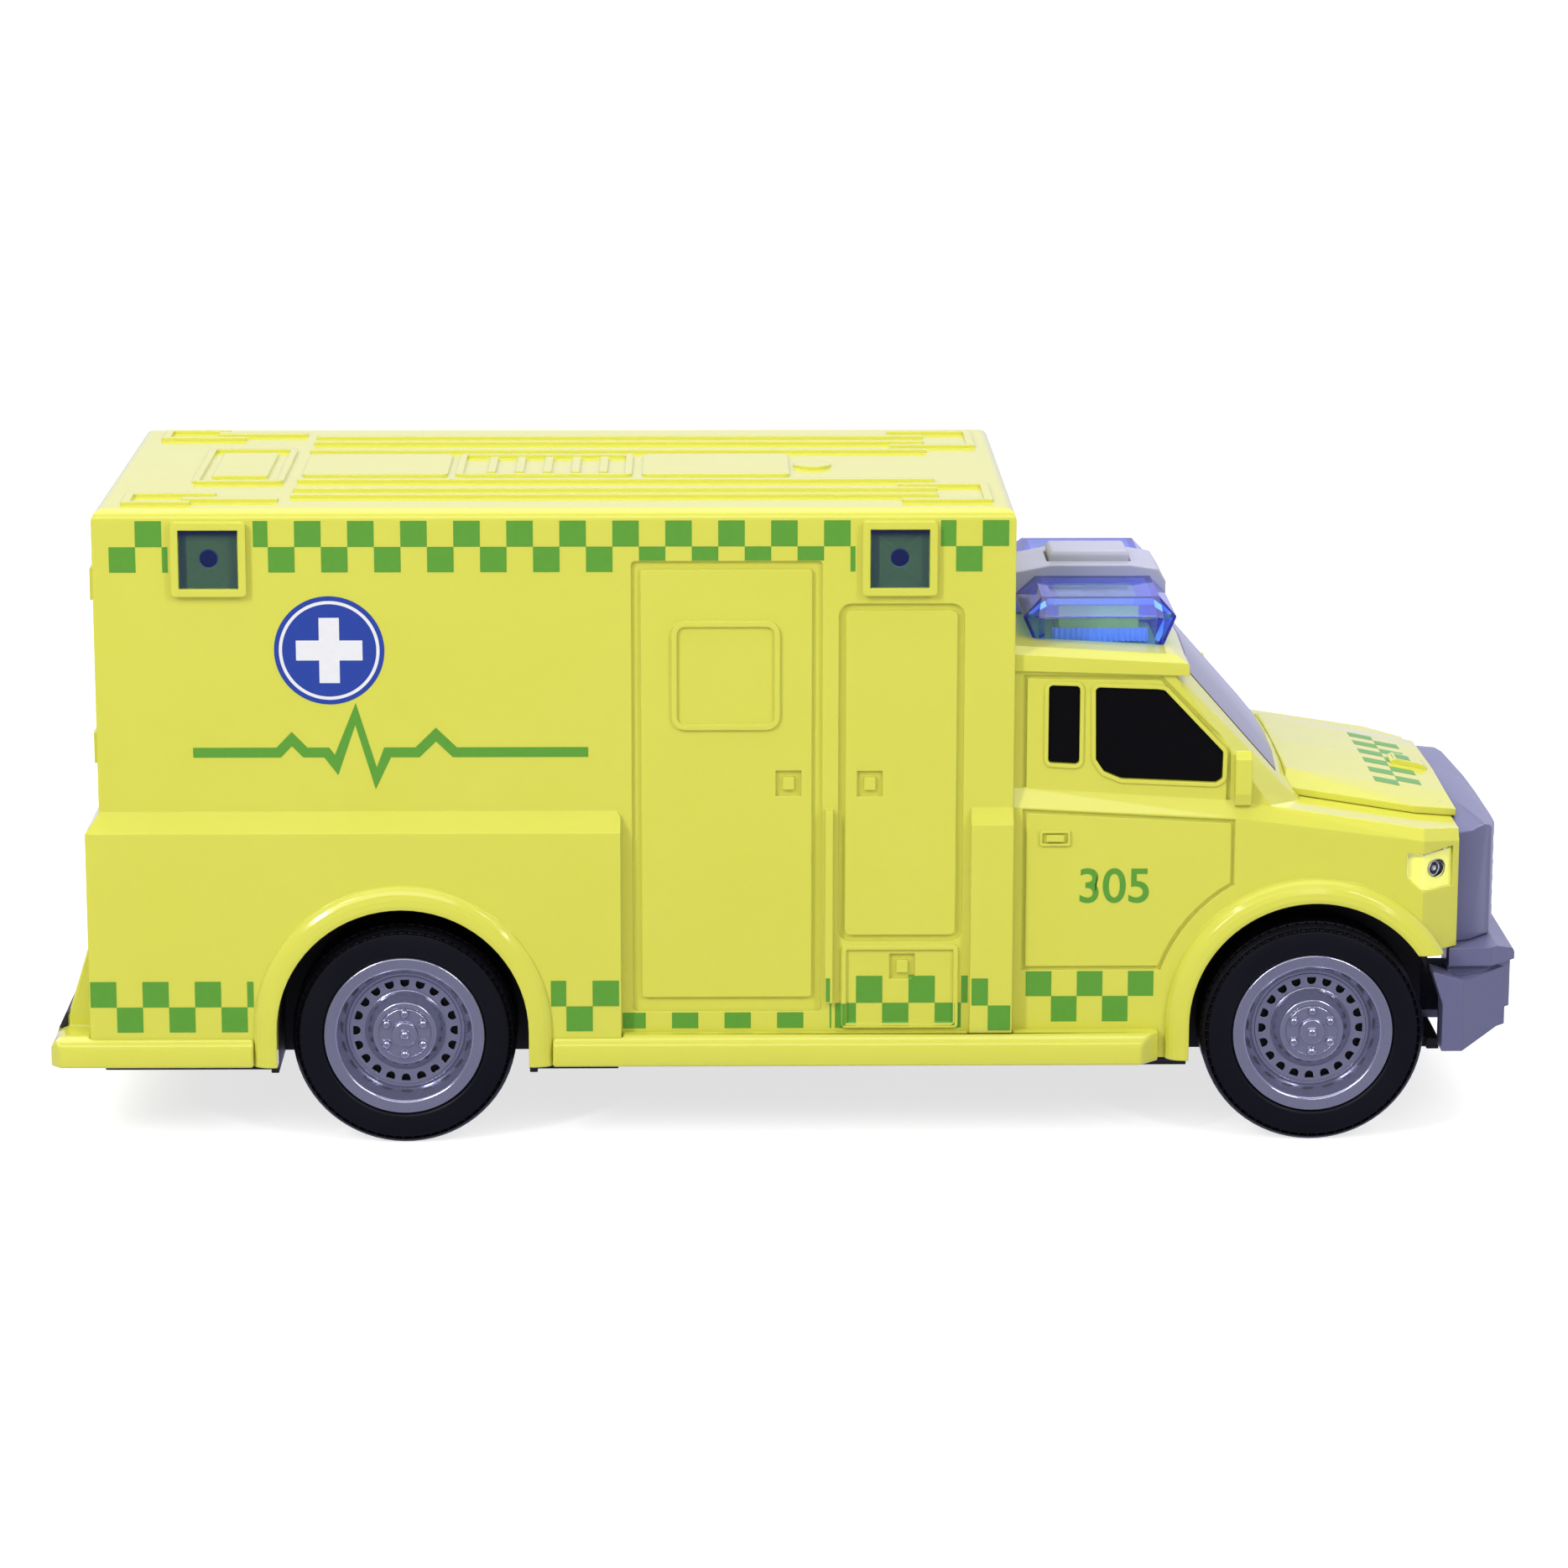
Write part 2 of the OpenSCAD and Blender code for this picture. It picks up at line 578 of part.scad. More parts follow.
// Cut lines of the cab door, as a thin path on the left side
module door_line(points) for (i = [0 : len(points) - 2]) {
    a = points[i];
    b = points[i + 1];
    translate(a) rotate(atan2(b[1] - a[1], b[0] - a[0])) translate([-0.35, -0.35])
        square([norm(b - a) + 0.7, 0.7]);
}

module headlamp_plan(out, in) polygon([[corner_x - 3.2, half_cab + out], [corner_x, half_cab + out],
    [cab_x1 - 1.3, half_cab + out - corner_in * 0.82], [cab_x1 - 1.3, half_cab - in - corner_in * 0.82],
    [corner_x, half_cab - in], [corner_x - 3.2, half_cab - in]]);

module headlamp_side(g) polygon([[corner_x - 3.2 + g, belt_z - 14 + g], [corner_x, belt_z - 16.6 + g],
    [cab_x1 - 1.3 - g, belt_z - 16.4 + g], [cab_x1 - 1.3 - g, belt_z - 8.6 - g],
    [corner_x, belt_z - 9.3 - g], [corner_x - 3.2 + g, belt_z - 9.2 - g]]);

headlamp_d = 1.2;
headlamp_stem = [corner_x + 2.6, belt_z - 12.6];

module cab_shell() color(yellow) difference() {
    union() {
        difference() {
            union() {
                cab_lower(0, box_x1, floor_z);
                cab_upper(0, box_x1, belt_z - 8, visor_z - 0.2);
                cab_cornice();
                both_sides() {
                    arch_lip(front_axle_x, half_cab, 2.8);
                    along_x(wing_mid_x + 0.2, wing_mid_x + 3.3) polygon([[half_glass - 1, belt_z - 0.6],
                        [half_cab, belt_z + 0.4], [half_cab + 0.8, belt_z + 2.6], [half_cab + 0.6,
                        belt_z + 9.2],
                        [half_cab - 0.6, belt_z + 10.8], [half_glass - 1, belt_z + 9]]);
                    along_y(half_cab - 0.5, half_cab + 0.5)
                        ring2d(box_x1 + 5.1, belt_z - 7.4, box_x1 + 10.9, belt_z - 4.4, 0.4, 0.5);
                    block(box_x1 + 6.3, box_x1 + 9.7, half_cab - 0.5, half_cab + 0.8, belt_z - 6.5,
                        belt_z - 5.2);
                    along_y(half_glass - 0.5, half_glass + frame_h)
                        for (points = [small_window, large_window])
                            offset(r = frame_w, $fn = 24) window_plan(points);
                }
            }
            cab_lower(wall, box_x1 - 1, pan_z - 1);
            cab_upper(wall, box_x1 - 1, belt_z - 9, visor_low);
            arch_cut(front_axle_x, half_cab - wall - 3, half_cab + 6);
            block(front_axle_x + 2, cab_x1 + 2, -half_cab - 6, half_cab + 6, pan_z - 2, bumper_z + 0.2);
            both_sides() {
                along_y(half_glass - wall - 1, half_roof + 1) {
                    window_plan(small_window);
                    window_plan(large_window);
                }
                along_y(half_cab - 0.6, half_cab + 0.1) {
                    door_line(concat([[door_x, belt_z - 0.7], [door_x, door_foot_z]], door_arc,
                        [[wing_mid_x, belt_z - door_fall - 0.7]]));
                    door_line([[door_x, belt_z - 0.7], [wing_mid_x, belt_z - door_fall - 0.7]]);
                }
                along_y(half_glass - 0.6, half_glass + 0.1) door_line([[door_x, belt_z + ledge_h + 0.4],
                    [door_x, cab_roof_z - 4.4], [visor_x - 5.2, cab_roof_z - 4.8],
                    [wing_mid_x - 0.9, belt_z + 11.2], [wing_mid_x - 0.9, wing_mid_z + 0.4]]);
                intersection() {
                    along_z(belt_z - 20, belt_z) headlamp_plan(1, headlamp_d);
                    along_y(half_cab - 8, half_cab + 2) headlamp_side(0);
                }
                rod(headlamp_stem[0], headlamp_stem[1], stem_r + fit_gap, half_cab - 8, half_cab);
            }
            screen_block(fit_gap);
            bonnet_form(-fit_gap, fit_gap / 3);
            block(bonnet_x0 + 7, cab_x1 - wall - 1, -bonnet_half + 4.4, bonnet_half - 4.4, belt_z - 12,
                belt_z + 9);
            post(button_x, 0, button_stem_r + 0.4, cab_roof_z - 8, cab_roof_z + 4);
        }
        both_sides() {
            block(bar_mid - 7.6, bar_mid + 7.6, plateau_in, plateau_out, cab_roof_z - 0.6, plateau_z);
            post(cab_boss_x, cab_boss_y, boss_r, floor_z + seat_h, floor_z + 24);
            block(cab_boss_x - 1, cab_boss_x + 1, cab_boss_y, half_cab - wall / 2, floor_z + 11,
                floor_z + 24);
            post(bar_mid, bar_post_y, 2.2, bar_board_z + board_t, cab_roof_z - 1);
        }
    }
    both_sides() {
        post(cab_boss_x, cab_boss_y, screw_r + run_gap, floor_z - 1, floor_z + seat_h + screw_l);
        post(bar_mid, led_y, led_r + fit_gap, cab_roof_z - 8, plateau_z + 1);
    }
}

// The room that the windscreen takes, grown by g
module screen_block(g) block(pillar_x - 4, cowl_x + 6, -screen_half - g, screen_half + g, cowl_z - g,
    screen_z1 + g);

module windscreen() color(dark_glass) intersection() {
    difference() {
        cab_upper(-0.1, box_x1, belt_z - 8, visor_z - 0.2);
        cab_upper(wall - 0.2, box_x1 - 1, belt_z - 9, visor_z);
    }
    screen_block(0);
}

// The bonnet's form, made smaller by g, with its lip reaching down to the wings
module bonnet_form(g, drop) {
    front_half = bonnet_half - 3;
    top_front_half = bonnet_top_half - 4.8;
    edge = [[bonnet_x0 + 0.4 + g, bonnet_half - 0.6 - g, 0], [bonnet_corner_x, bonnet_half - g, 0],
        [bonnet_x1 - g, front_half - g, 0], [bonnet_x0 + 1.9 + g, bonnet_half / 2, 0],
        [bonnet_x0 + 2.4 + g, 0, 0]];
    solid_of(mirrored(concat(
        [for (p = edge) [p[0], p[1], wing_at(p[0]) + fit_gap - drop]],
        [for (p = edge) [p[0], p[1], wing_at(p[0]) + fit_gap + bonnet_lip - g]],
        [[bonnet_x0 + 1.5 + g, bonnet_top_half - g, wing_at(bonnet_x0) + bonnet_lip + bonnet_rise - g],
        [bonnet_x0 + 2.7 + g, 0, wing_at(bonnet_x0) + bonnet_lip + bonnet_rise + 0.2 - g],
        [bonnet_x1 - 0.5 - g, top_front_half - g, wing_at(bonnet_x1) + bonnet_lip + bonnet_rise - 0.9 - g],
        [bonnet_x1 - 0.3 - g, 0, wing_at(bonnet_x1) + bonnet_lip + bonnet_rise - 0.7 - g]])));
}

module bonnet() color(yellow) {
    nose_z = wing_at(bonnet_x1) + bonnet_lip;
    top_z = nose_z + bonnet_rise - 0.7;
    scoop_x0 = bonnet_x1 - 9;
    scoop_x1 = bonnet_x1 - 1.8;
    difference() {
        bonnet_form(0, 0);
        bonnet_form(bonnet_t, 1);
    }
    along_y(-scoop_half, scoop_half) polygon([[scoop_x0, top_z], [scoop_x0, top_z + 2.1],
        [scoop_x0 + 0.9, top_z + 2.6], [scoop_x1 - 0.8, top_z + 1.4], [scoop_x1, top_z + 0.8],
        [scoop_x1, top_z - 0.6]]);
    both_sides() translate([bonnet_x1 - 3.4, bonnet_half - 7, nose_z - 0.4]) cylinder(h = 1.4, r = 1.2,
        $fn = 24);
}

module side_window(side) scale([1, side, 1]) {
    intersection() {
        along_y(half_glass - wall - 1.4, half_glass - wall - 0.02) polygon([[box_x1 + 4.8, belt_z + 6.4],
            [box_x1 + 18, belt_z + 4.2], [wing_mid_x - 0.6, belt_z + 2.9], [wing_mid_x - 0.4, belt_z + 10.6],
            [visor_x - 5, cab_roof_z - 5.4], [box_x1 + 4.8, cab_roof_z - 4.4]]);
        cab_upper(wall + 0.02, box_x1, belt_z, visor_low);
    }
    along_y(half_glass - wall - 0.5, half_glass - 0.5) {
        offset(delta = -fit_gap) window_plan(small_window);
        offset(delta = -fit_gap) window_plan(large_window);
    }
}

module side_window_right() color(dark_glass) side_window(-1);
module side_window_left() color(dark_glass) side_window(1);

module headlamp(side) scale([1, side, 1]) {
    intersection() {
        along_z(belt_z - 20, belt_z) headlamp_plan(0.1, headlamp_d - 0.05);
        along_y(half_cab - 8, half_cab + 2) headlamp_side(fit_gap);
    }
    rod(headlamp_stem[0], headlamp_stem[1], stem_r, half_cab - 6.5, half_cab - headlamp_d - 0.6);
}

module headlamp_right() color(clear_lens) headlamp(-1);
module headlamp_left() color(clear_lens) headlamp(1);

// Boards along the sides, the rear step and the front end

module board_section(y0) polygon([[y0, floor_z], [half_board, floor_z], [half_board, sill_z - 2.2],
    [half_board - 0.8, sill_z - 0.9], [half_skirt - 0.4, sill_z], [y0, sill_z]]);

module running_board(side) scale([1, side, 1]) difference() {
    along_x(rear_axle_x + arch_r + lip_w + 0.1, board_x1) board_section(half_cab - 3);
    block(rear_axle_x, skirt_x1 + fit_gap, 0, half_skirt + 0.05, 0, sill_z + 1);
    block(rear_axle_x, box_x1 + fit_gap, 0, half_box + 0.05, 0, sill_z + 1);
    block(box_x1 - 8 - fit_gap, box_x1 + fit_gap, 0, half_box + 2.25, 0, sill_z + 1);
    block(rear_axle_x, board_x1 + 1, 0, half_cab + 0.05, 0, sill_z + 1);
    block(locker_x0, locker_x1, 0, half_box + ridge_h + 0.05, floor_z + 5, sill_z + 1);
    translate([board_x1, half_board, 0]) rotate([0, 0, 45]) cube([5, 5, 3 * sill_z], center = true);
}

module running_board_right() color(yellow) running_board(-1);
module running_board_left() color(yellow) running_board(1);

module rear_step() color(yellow) {
    x1 = rear_axle_x - arch_r - lip_w - 0.1;
    difference() {
        intersection() {
            along_x(x_rear, x1) polygon([[-half_board, floor_z], [half_board, floor_z], [half_board,
                sill_z - 2.2],
                [half_board - 0.8, sill_z - 0.9], [half_skirt - 0.4, sill_z], [-half_skirt + 0.4, sill_z],
                [-half_board + 0.8, sill_z - 0.9], [-half_board, sill_z - 2.2]]);
            along_y(-half_board, half_board) polygon([[x1, floor_z], [x1, sill_z], [x_rear + 2, sill_z],
                [x_rear + 0.6, sill_z - 0.9], [x_rear, sill_z - 2.2], [x_rear, floor_z]]);
            along_z(0, sill_z + 1) polygon([[x1, -half_board], [x_rear + 2, -half_board], [x_rear,
                -half_board + 2],
                [x_rear, half_board - 2], [x_rear + 2, half_board], [x1, half_board]]);
        }
        block(skirt_x0 - 0.05, x1 + 1, -half_skirt - 0.05, half_skirt + 0.05, 0, sill_z + 1);
        rear_pad_form(fit_gap);
    }
    difference() {
        along_y(-44.6, 44.6) polygon([[skirt_x0 - 0.05, sill_z - 1], [skirt_x0 - 0.05, floor_z + 21.3],
            [skirt_x0 - 0.9, floor_z + 21.3], [x_rear + 2.6, sill_z + 2.2], [x_rear + 2.6, sill_z - 1]]);
        rear_pad_form(fit_gap);
    }
}

module rear_pad_form(g) along_y(-44 - g, 44 + g) polygon([[x_rear + 4.4 + g, sill_z - 0.8 - g],
    [x_rear + 4.4 + g, sill_z + 3.8 + g], [x_rear + 2 - g, sill_z + 2.4 + g], [x_rear + 0.5 - g,
    sill_z - 0.8 - g]]);

module rear_pad() color(black) rear_pad_form(0);

// A plan outline given by its left half
module mirrored_plan(points) polygon(concat(points,
    [for (i = [len(points) - 1 : -1 : 0]) [points[i][0], -points[i][1]]]));

module grille() color(grey) {
    z0 = bumper_z + 0.05;
    z1 = wing_front_z + 1;
    front = cab_x1 + grille_d;
    difference() {
        intersection() {
            along_z(z0, z1 + 1) mirrored_plan([[cab_x1, grille_half], [cab_x1 + 3.2, grille_half - 1.5],
                [cab_x1 + 7.6, grille_half - 6.7], [front - 0.9, grille_half - 21.5], [front,
                grille_half - 33]]);
            along_y(-half_cab, half_cab) polygon([[cab_x1, z0], [cab_x1, z1 - 1.2], [cab_x1 + 1.1, z1 - 1.2],
                [cab_x1 + 1.1, z1], [cab_x1 + 3.4, z1 - 0.6], [cab_x1 + 7.2, z1 - 2.3], [front - 1.6,
                z1 - 4.4],
                [front - 0.5, z1 - 5.6], [front, z1 - 7], [front, z0]]);
            along_x(cab_x1, front) polygon([[-grille_half, z0], [-grille_half, z1 - 2.4],
                [-grille_half / 2, z1],
                [grille_half / 2, z1], [grille_half, z1 - 2.4], [grille_half, z0]]);
        }
        for (z = [z0 + 2.4 : 3 : z1 - 9]) block(front - 1.8, nose_x, -grille_half + 20,
            grille_half - 20, z, z + 1.5);
        block(cab_x1 - 1, front - 4, -grille_half + 12, grille_half - 12, z0 - 1, z1 - 9);
    }
}

// The bumper bar's plan, made smaller by g
module bar_plan(g) mirrored_plan([[cab_x1 - 1.5, half_cab - 4 - g], [cab_x1 + 6.8 - g / 2,
    half_cab - 4.6 - g],
    [nose_x - 0.6 - g / 2, half_cab - 10 - g], [nose_x - g / 2, half_cab - 26]]);

module bumper() color(grey) {
    back = cab_x1 - 5;
    bar_z = floor_z + 7;
    difference() {
        intersection() {
            union() {
                along_z(bumper_z - 3.6, bumper_z) bar_plan(0);
                along_z(bar_z, bumper_z - 3.5) bar_plan(1.2);
            }
            along_y(-half_cab, half_cab) polygon([[back, bar_z], [back, bumper_z], [nose_x - 4.6, bumper_z],
                [nose_x - 1, bumper_z - 1.4], [nose_x, bumper_z - 3.4], [nose_x, bar_z]]);
        }
        along_z(floor_z - 1, bumper_z - 2) bar_plan(3.4);
        block(back, cab_x1, -half_cab + 7.4, half_cab - 7.4, bar_z - 1, bumper_z + 1);
    }
    along_z(floor_z + 3, bar_z + 0.1) difference() {
        bar_plan(2.4);
        bar_plan(5);
        translate([back, -half_cab + 7]) square([5, 2 * half_cab - 14]);
    }
    both_sides() {
        difference() {
            along_z(floor_z + 1, bumper_z - 3) polygon([[back, half_cab - 6.5], [back, half_cab],
                [cab_x1 + 0.9, half_cab], [nose_x - 2.8, half_cab - 8], [nose_x - 4.3, half_cab - 9.6],
                [cab_x1, half_cab - 2.2], [back + 4.2, half_cab - 2.2], [back + 4.2, half_cab - 6.5]]);
            along_y(half_cab - 20, half_cab + 1) polygon([[back - 1, bumper_z - 3.3], [cab_x1 + 0.9,
                bumper_z - 5.4],
                [nose_x, bumper_z - 4.2], [nose_x, bumper_z], [back - 1, bumper_z]]);
            along_y(half_cab - 20, half_cab + 1) polygon([[cab_x1 + 0.9, floor_z], [cab_x1 + 0.9,
                floor_z + 1],
                [nose_x - 2.8, floor_z + 4.6], [nose_x, floor_z + 5.8], [nose_x, floor_z]]);
            along_y(half_cab - 20, half_cab + 1) polygon([[back - 1, floor_z], [back + 2, floor_z],
                [back + 2, bumper_z - 10], [back, bumper_z - 4], [back - 1, bumper_z - 4]]);
        }
        along_z(bumper_z - 6.8, bumper_z - 5.5) polygon([[cab_x1 - 1.4, half_cab - 2], [cab_x1 + 0.6,
            half_cab - 1],
            [nose_x - 3.6, half_cab - 8.4], [nose_x - 4.6, half_cab - 11], [cab_x1 + 5, half_cab - 6.5],
            [cab_x1 - 1.4, half_cab - 6]]);
    }
    block(pan_x1 - 9, nose_x - 4, -20, 20, floor_z, floor_z + 1.6);
    block(nose_x - 6, nose_x - 1.8, -20, 20, floor_z, bar_z + 1);
}

// The light bar

module saddle_side(x0, x1) polygon([[x0, roof_at(x0)], [x0, saddle_z - 1.4], [x0 + 7, saddle_z],
    [x1 - 7, saddle_z], [x1 - 1.6, saddle_z - 0.8], [x1, saddle_z - 3.4], [x1, roof_at(x1)]]);

module saddle() color(grey) difference() {
    along_y(-saddle_half, saddle_half) saddle_side(bar_x0, bar_x1);
    translate([button_x, 0, 0]) {
        block(-button_l / 2 - 0.25, button_l / 2 + 0.25, -button_w / 2 - 0.25, button_w / 2 + 0.25,
            pocket_z, saddle_z + 1);
        block(-button_l / 2 - button_flange - 0.3, button_l / 2 + button_flange + 0.3,
            -button_w / 2 - button_flange - 0.3, button_w / 2 + button_flange + 0.3, pocket_z,
            saddle_z - saddle_lip);
        post(0, 0, button_stem_r + 0.4, cab_roof_z - 2, saddle_z);
    }
}

module button() color(grey) translate([button_x, 0, 0]) {
    difference() {
        union() {
            hull() {
                block(-button_l / 2, button_l / 2, -button_w / 2, button_w / 2, flange_z, button_top - 0.8);
                block(-button_l / 2 + 0.6, button_l / 2 - 0.6, -button_w / 2 + 0.6, button_w / 2 - 0.6,
                    flange_z, button_top);
            }
            block(-button_l / 2 - button_flange, button_l / 2 + button_flange, -button_w / 2 - button_flange,
                button_w / 2 + button_flange, flange_z, flange_z + flange_t);
        }
        block(-button_l / 2 + 1.4, button_l / 2 - 1.4, -button_w / 2 + 1.4, button_w / 2 - 1.4,
            flange_z - 1, button_top - 1.6);
    }
    post(0, 0, button_stem_r, bar_board_z + board_t + dome_h, button_top - 1);
}

// A lens shape that narrows to its top and foot, made smaller by g
module lens_form(g) {
    y0 = saddle_half + fit_gap;
    hull() {
        along_z(lens_z - g - 0.01, lens_z - g) polygon([[bar_x0 + 3.8 + g, y0 + g],
            [bar_x1 - 3.2 - g, y0 + g], [bar_x1 - 3.2 - g, lens_top_half - g], [bar_x0 + 3.8 + g,
            lens_top_half - g]]);
        along_z(lens_mid_z, lens_mid_z + 0.2) polygon([[bar_x0 + 0.2 + g, y0 + g],
            [bar_x1 - 0.1 - g, y0 + g],
            [bar_x1 - 0.1 - g, lens_top_half + 2.4 - g], [bar_x1 - 2.6 - g, lens_top_half + 4.4 - g],
            [bar_x0 + 3 + g, lens_top_half + 4.4 - g], [bar_x0 + 0.2 + g, lens_top_half + 2.4 - g]]);
        along_z(cab_roof_z - 2, cab_roof_z - 1.9) polygon([[bar_x0 + 3.2 + g, y0 + g], [bar_x1 - 3 - g,
            y0 + g],
            [bar_x1 - 3 - g, lens_top_half + 2.6 - g], [bar_x0 + 3.2 + g, lens_top_half + 2.6 - g]]);
    }
}

module bar_lens(side) scale([1, side, 1]) difference() {
    lens_form(0);
    lens_form(lens_t);
    along_y(0, half_cab) polygon([[box_x1 - 1, roof_at(box_x1 - 1) + 0.05], [visor_x + 3,
        roof_at(visor_x + 3) + 0.05],
        [visor_x + 3, cab_roof_z - 20], [box_x1 - 1, cab_roof_z - 20]]);
}

module bar_lens_right() color(blue_lens) bar_lens(-1);
module bar_lens_left() color(blue_lens) bar_lens(1);

module dome() color(white) translate([button_x, 0, bar_board_z + board_t]) rotate_extrude($fn = 40)
    polygon([[0, dome_h - 1], [0, dome_h], [2, dome_h], [2.4, dome_h - 0.3], [3.4, 0.6], [4, 0.5], [4, 0],
        [2.9, 0], [2, dome_h - 1]]);

module bar_board() color(board_green) difference() {
    block(bar_mid - bar_board_w / 2, bar_mid + bar_board_w / 2, -bar_board_half, bar_board_half,
        bar_board_z, bar_board_z + board_t);
    both_sides() post(bar_mid, bar_post_y, 1, bar_board_z - 1, bar_board_z + 3);
}

module bar_leds() color(blue_lens) both_sides() {
    post(bar_mid, led_y, led_r, bar_board_z + board_t + 1, plateau_z - 3.2);
    translate([bar_mid, led_y, plateau_z - 3.2]) intersection() {
        sphere(r = led_r, $fn = 32);
        translate([-led_r, -led_r, -0.5]) cube([2 * led_r, 2 * led_r, led_r + 1]);
    }
    post(bar_mid, led_y, led_r + 0.4, bar_board_z + board_t, bar_board_z + board_t + 1.1);
}

// A square lens with its stem for a lamp on the left wall
module lamp_lens(x, side) scale([1, side, 1]) translate([x + bezel_w / 2, 0, bezel_z + bezel_w / 2]) {
    block(-lamp_w / 2, lamp_w / 2, half_box - pocket_d, half_box + bezel_out - 0.3, -lamp_w / 2, lamp_w / 2);
    rod(0, 0, stem_r, half_box - wall - 2, half_box - pocket_d + 0.1);
}

module lamp_lens_rear_right() color(blue_lens) lamp_lens(bezel_rear_x, -1);
module lamp_lens_front_right() color(blue_lens) lamp_lens(bezel_front_x, -1);
module lamp_lens_rear_left() color(blue_lens) lamp_lens(bezel_rear_x, 1);
module lamp_lens_front_left() color(blue_lens) lamp_lens(bezel_front_x, 1);

// The chassis and what it holds

module tub(x, out, x_end) intersection() {
    union() {
        difference() {
            union() {
                rod(x, arch_z, arch_r + tub_t, tub_in, out);
                block(x - arch_r - tub_t, x + arch_r + tub_t, tub_in, out, pan_z, arch_z);
            }
            rod(x, arch_z, arch_r, tub_in + bearing_t, out + 1);
            block(x - arch_r, x + arch_r, tub_in + bearing_t, out + 1, pan_z - 1, arch_z);
        }
    }
    block(x - 60, x_end, 0, half_board, pan_z, roof_z);
}

module chassis() color(black) difference() {
    union() {
        difference() {
            union() {
                block(pan_x0 + 4, pan_x1, -pan_half, pan_half, pan_z, floor_z);
                block(pan_x0, skirt_x1 - 0.6, -half_skirt + 0.8, half_skirt - 0.8,
                    floor_z - pan_edge_t, floor_z);
                block(pan_x0, box_x1 - 0.6, -half_box + 0.8, half_box - 0.8, floor_z - pan_edge_t, floor_z);
                block(pan_x0, pan_x1 - 6, -half_cab + 0.8, half_cab - 0.8, floor_z - pan_edge_t, floor_z);
            }
            both_sides() {
                for (x = [rear_axle_x, front_axle_x]) block(x - arch_r, x + arch_r,
                    tub_in + bearing_t, half_board, pan_z - 1, floor_z + 1);
                block(front_axle_x + arch_r - 4, pan_x1 + 1, tub_in + 4, half_board, pan_z - 1, floor_z + 1);
            }
        }
        both_sides() {
            tub(rear_axle_x, tub_out_rear, rear_axle_x + 60);
            difference() {
                tub(front_axle_x, tub_out_front, cab_x1 - 5.4);
                along_z(pan_z - 1, roof_z) polygon([[corner_x - 2, half_cab], [corner_x - 2, tub_out_front],
                    [cab_x1, half_cab - corner_in - wall - 1.4], [cab_x1, half_cab]]);
            }
            for (p = screw_places) post(p[0], p[1], screw_head_r + 1.2, pan_z, floor_z + seat_h);
        }
        block(battery_x - bay_l / 2 - 1.4, battery_x + bay_l / 2 + 1.4, -bay_w / 2 - 1.4, bay_w / 2 + 1.4,
            pan_z, bay_top + 1.2);
        difference() {
            post(speaker_x, 0, speaker_r + speaker_wall + fit_gap, pan_z, floor_z + speaker_t);
            post(speaker_x, 0, speaker_r + fit_gap, floor_z, floor_z + speaker_t + 1);
        }
        for (x = [-1, 1]) for (y = [-1, 1]) post(battery_x + x * (sound_l / 2 - 3),
            y * (sound_w / 2 - 2.5), 2,
            pan_z, sound_z);
        for (x = [motor_ear_x0, motor_ear_x1]) post(x, 2, boss_r, pan_z, ear_z);
        post(battery_screw_x, 0, boss_r, pan_z, floor_z + 6);
    }
    block(battery_x - bay_l / 2, battery_x + bay_l / 2, -bay_w / 2, bay_w / 2, pan_z - 1, bay_top);
    battery_door_form(fit_gap, pan_z - 1);
    post(battery_screw_x, 0, screw_r + run_gap, pan_z - 1, floor_z + 5);
    for (x = [motor_ear_x0, motor_ear_x1]) post(x, 2, screw_r + run_gap, pan_z + 1, ear_z + 1);
    both_sides() {
        for (p = screw_places) {
            post(p[0], p[1], screw_r + 0.3, pan_z - 1, floor_z + seat_h + 1);
            post(p[0], p[1], screw_head_r + 0.3, pan_z - 1, pan_z + head_h + 0.2);
        }
        for (x = [rear_axle_x, front_axle_x]) rod(x, axle_z, axle_r + run_gap, tub_in - 1,
            tub_in + bearing_t + 1);
    }
    motor_outline(motor_wall + motor_gap + 0.4, motor_y0 - motor_wall - 0.4,
        motor_y1 + motor_wall + 0.4, floor_z + 1);
    post(speaker_x, 0, 1.2, pan_z - 1, floor_z + 1);
    for (a = [0 : 60 : 300]) post(speaker_x + 4.4 * cos(a), 4.4 * sin(a), 1.2, pan_z - 1, floor_z + 1);
    for (a = [0 : 30 : 330]) post(speaker_x + 8.8 * cos(a), 8.8 * sin(a), 1.2, pan_z - 1, floor_z + 1);
}

// A screw with its head down, its head's foot at z and its tip at z_tip
module screw(x, y, z, h, z_tip) {
    translate([x, y, z]) difference() {
        cylinder(h = h, r1 = screw_head_r - 0.4, r2 = screw_head_r, $fn = 40);
        for (a = [0, 90]) rotate([0, 0, a]) translate([-1.3, -0.3, -0.1]) cube([2.6, 0.6, h / 2 + 0.1]);
    }
    post(x, y, screw_r, z + h - 0.2, z_tip);
}

module body_screws() color(steel) both_sides() for (p = screw_places)
    screw(p[0], p[1], pan_z + 0.2, head_h, floor_z + seat_h + screw_l - 1);

module battery_door_form(g, z0) along_z(z0, pan_z + battery_door_t) polygon(rounded(
    battery_x - bay_l / 2 - door_lip - g, -bay_w / 2 - door_lip - g, battery_screw_x + door_tongue + g,
    bay_w / 2 + door_lip + g, 2));

module battery_door() color(black) difference() {
    battery_door_form(0, pan_z);
    post(battery_screw_x, 0, screw_r + 0.3, pan_z - 1, pan_z + 3);
    post(battery_screw_x, 0, screw_head_r + 0.3, pan_z - 1, pan_z + battery_head_h);
}

module battery_screw() color(steel) screw(battery_screw_x, 0, pan_z, battery_head_h, floor_z + 4);

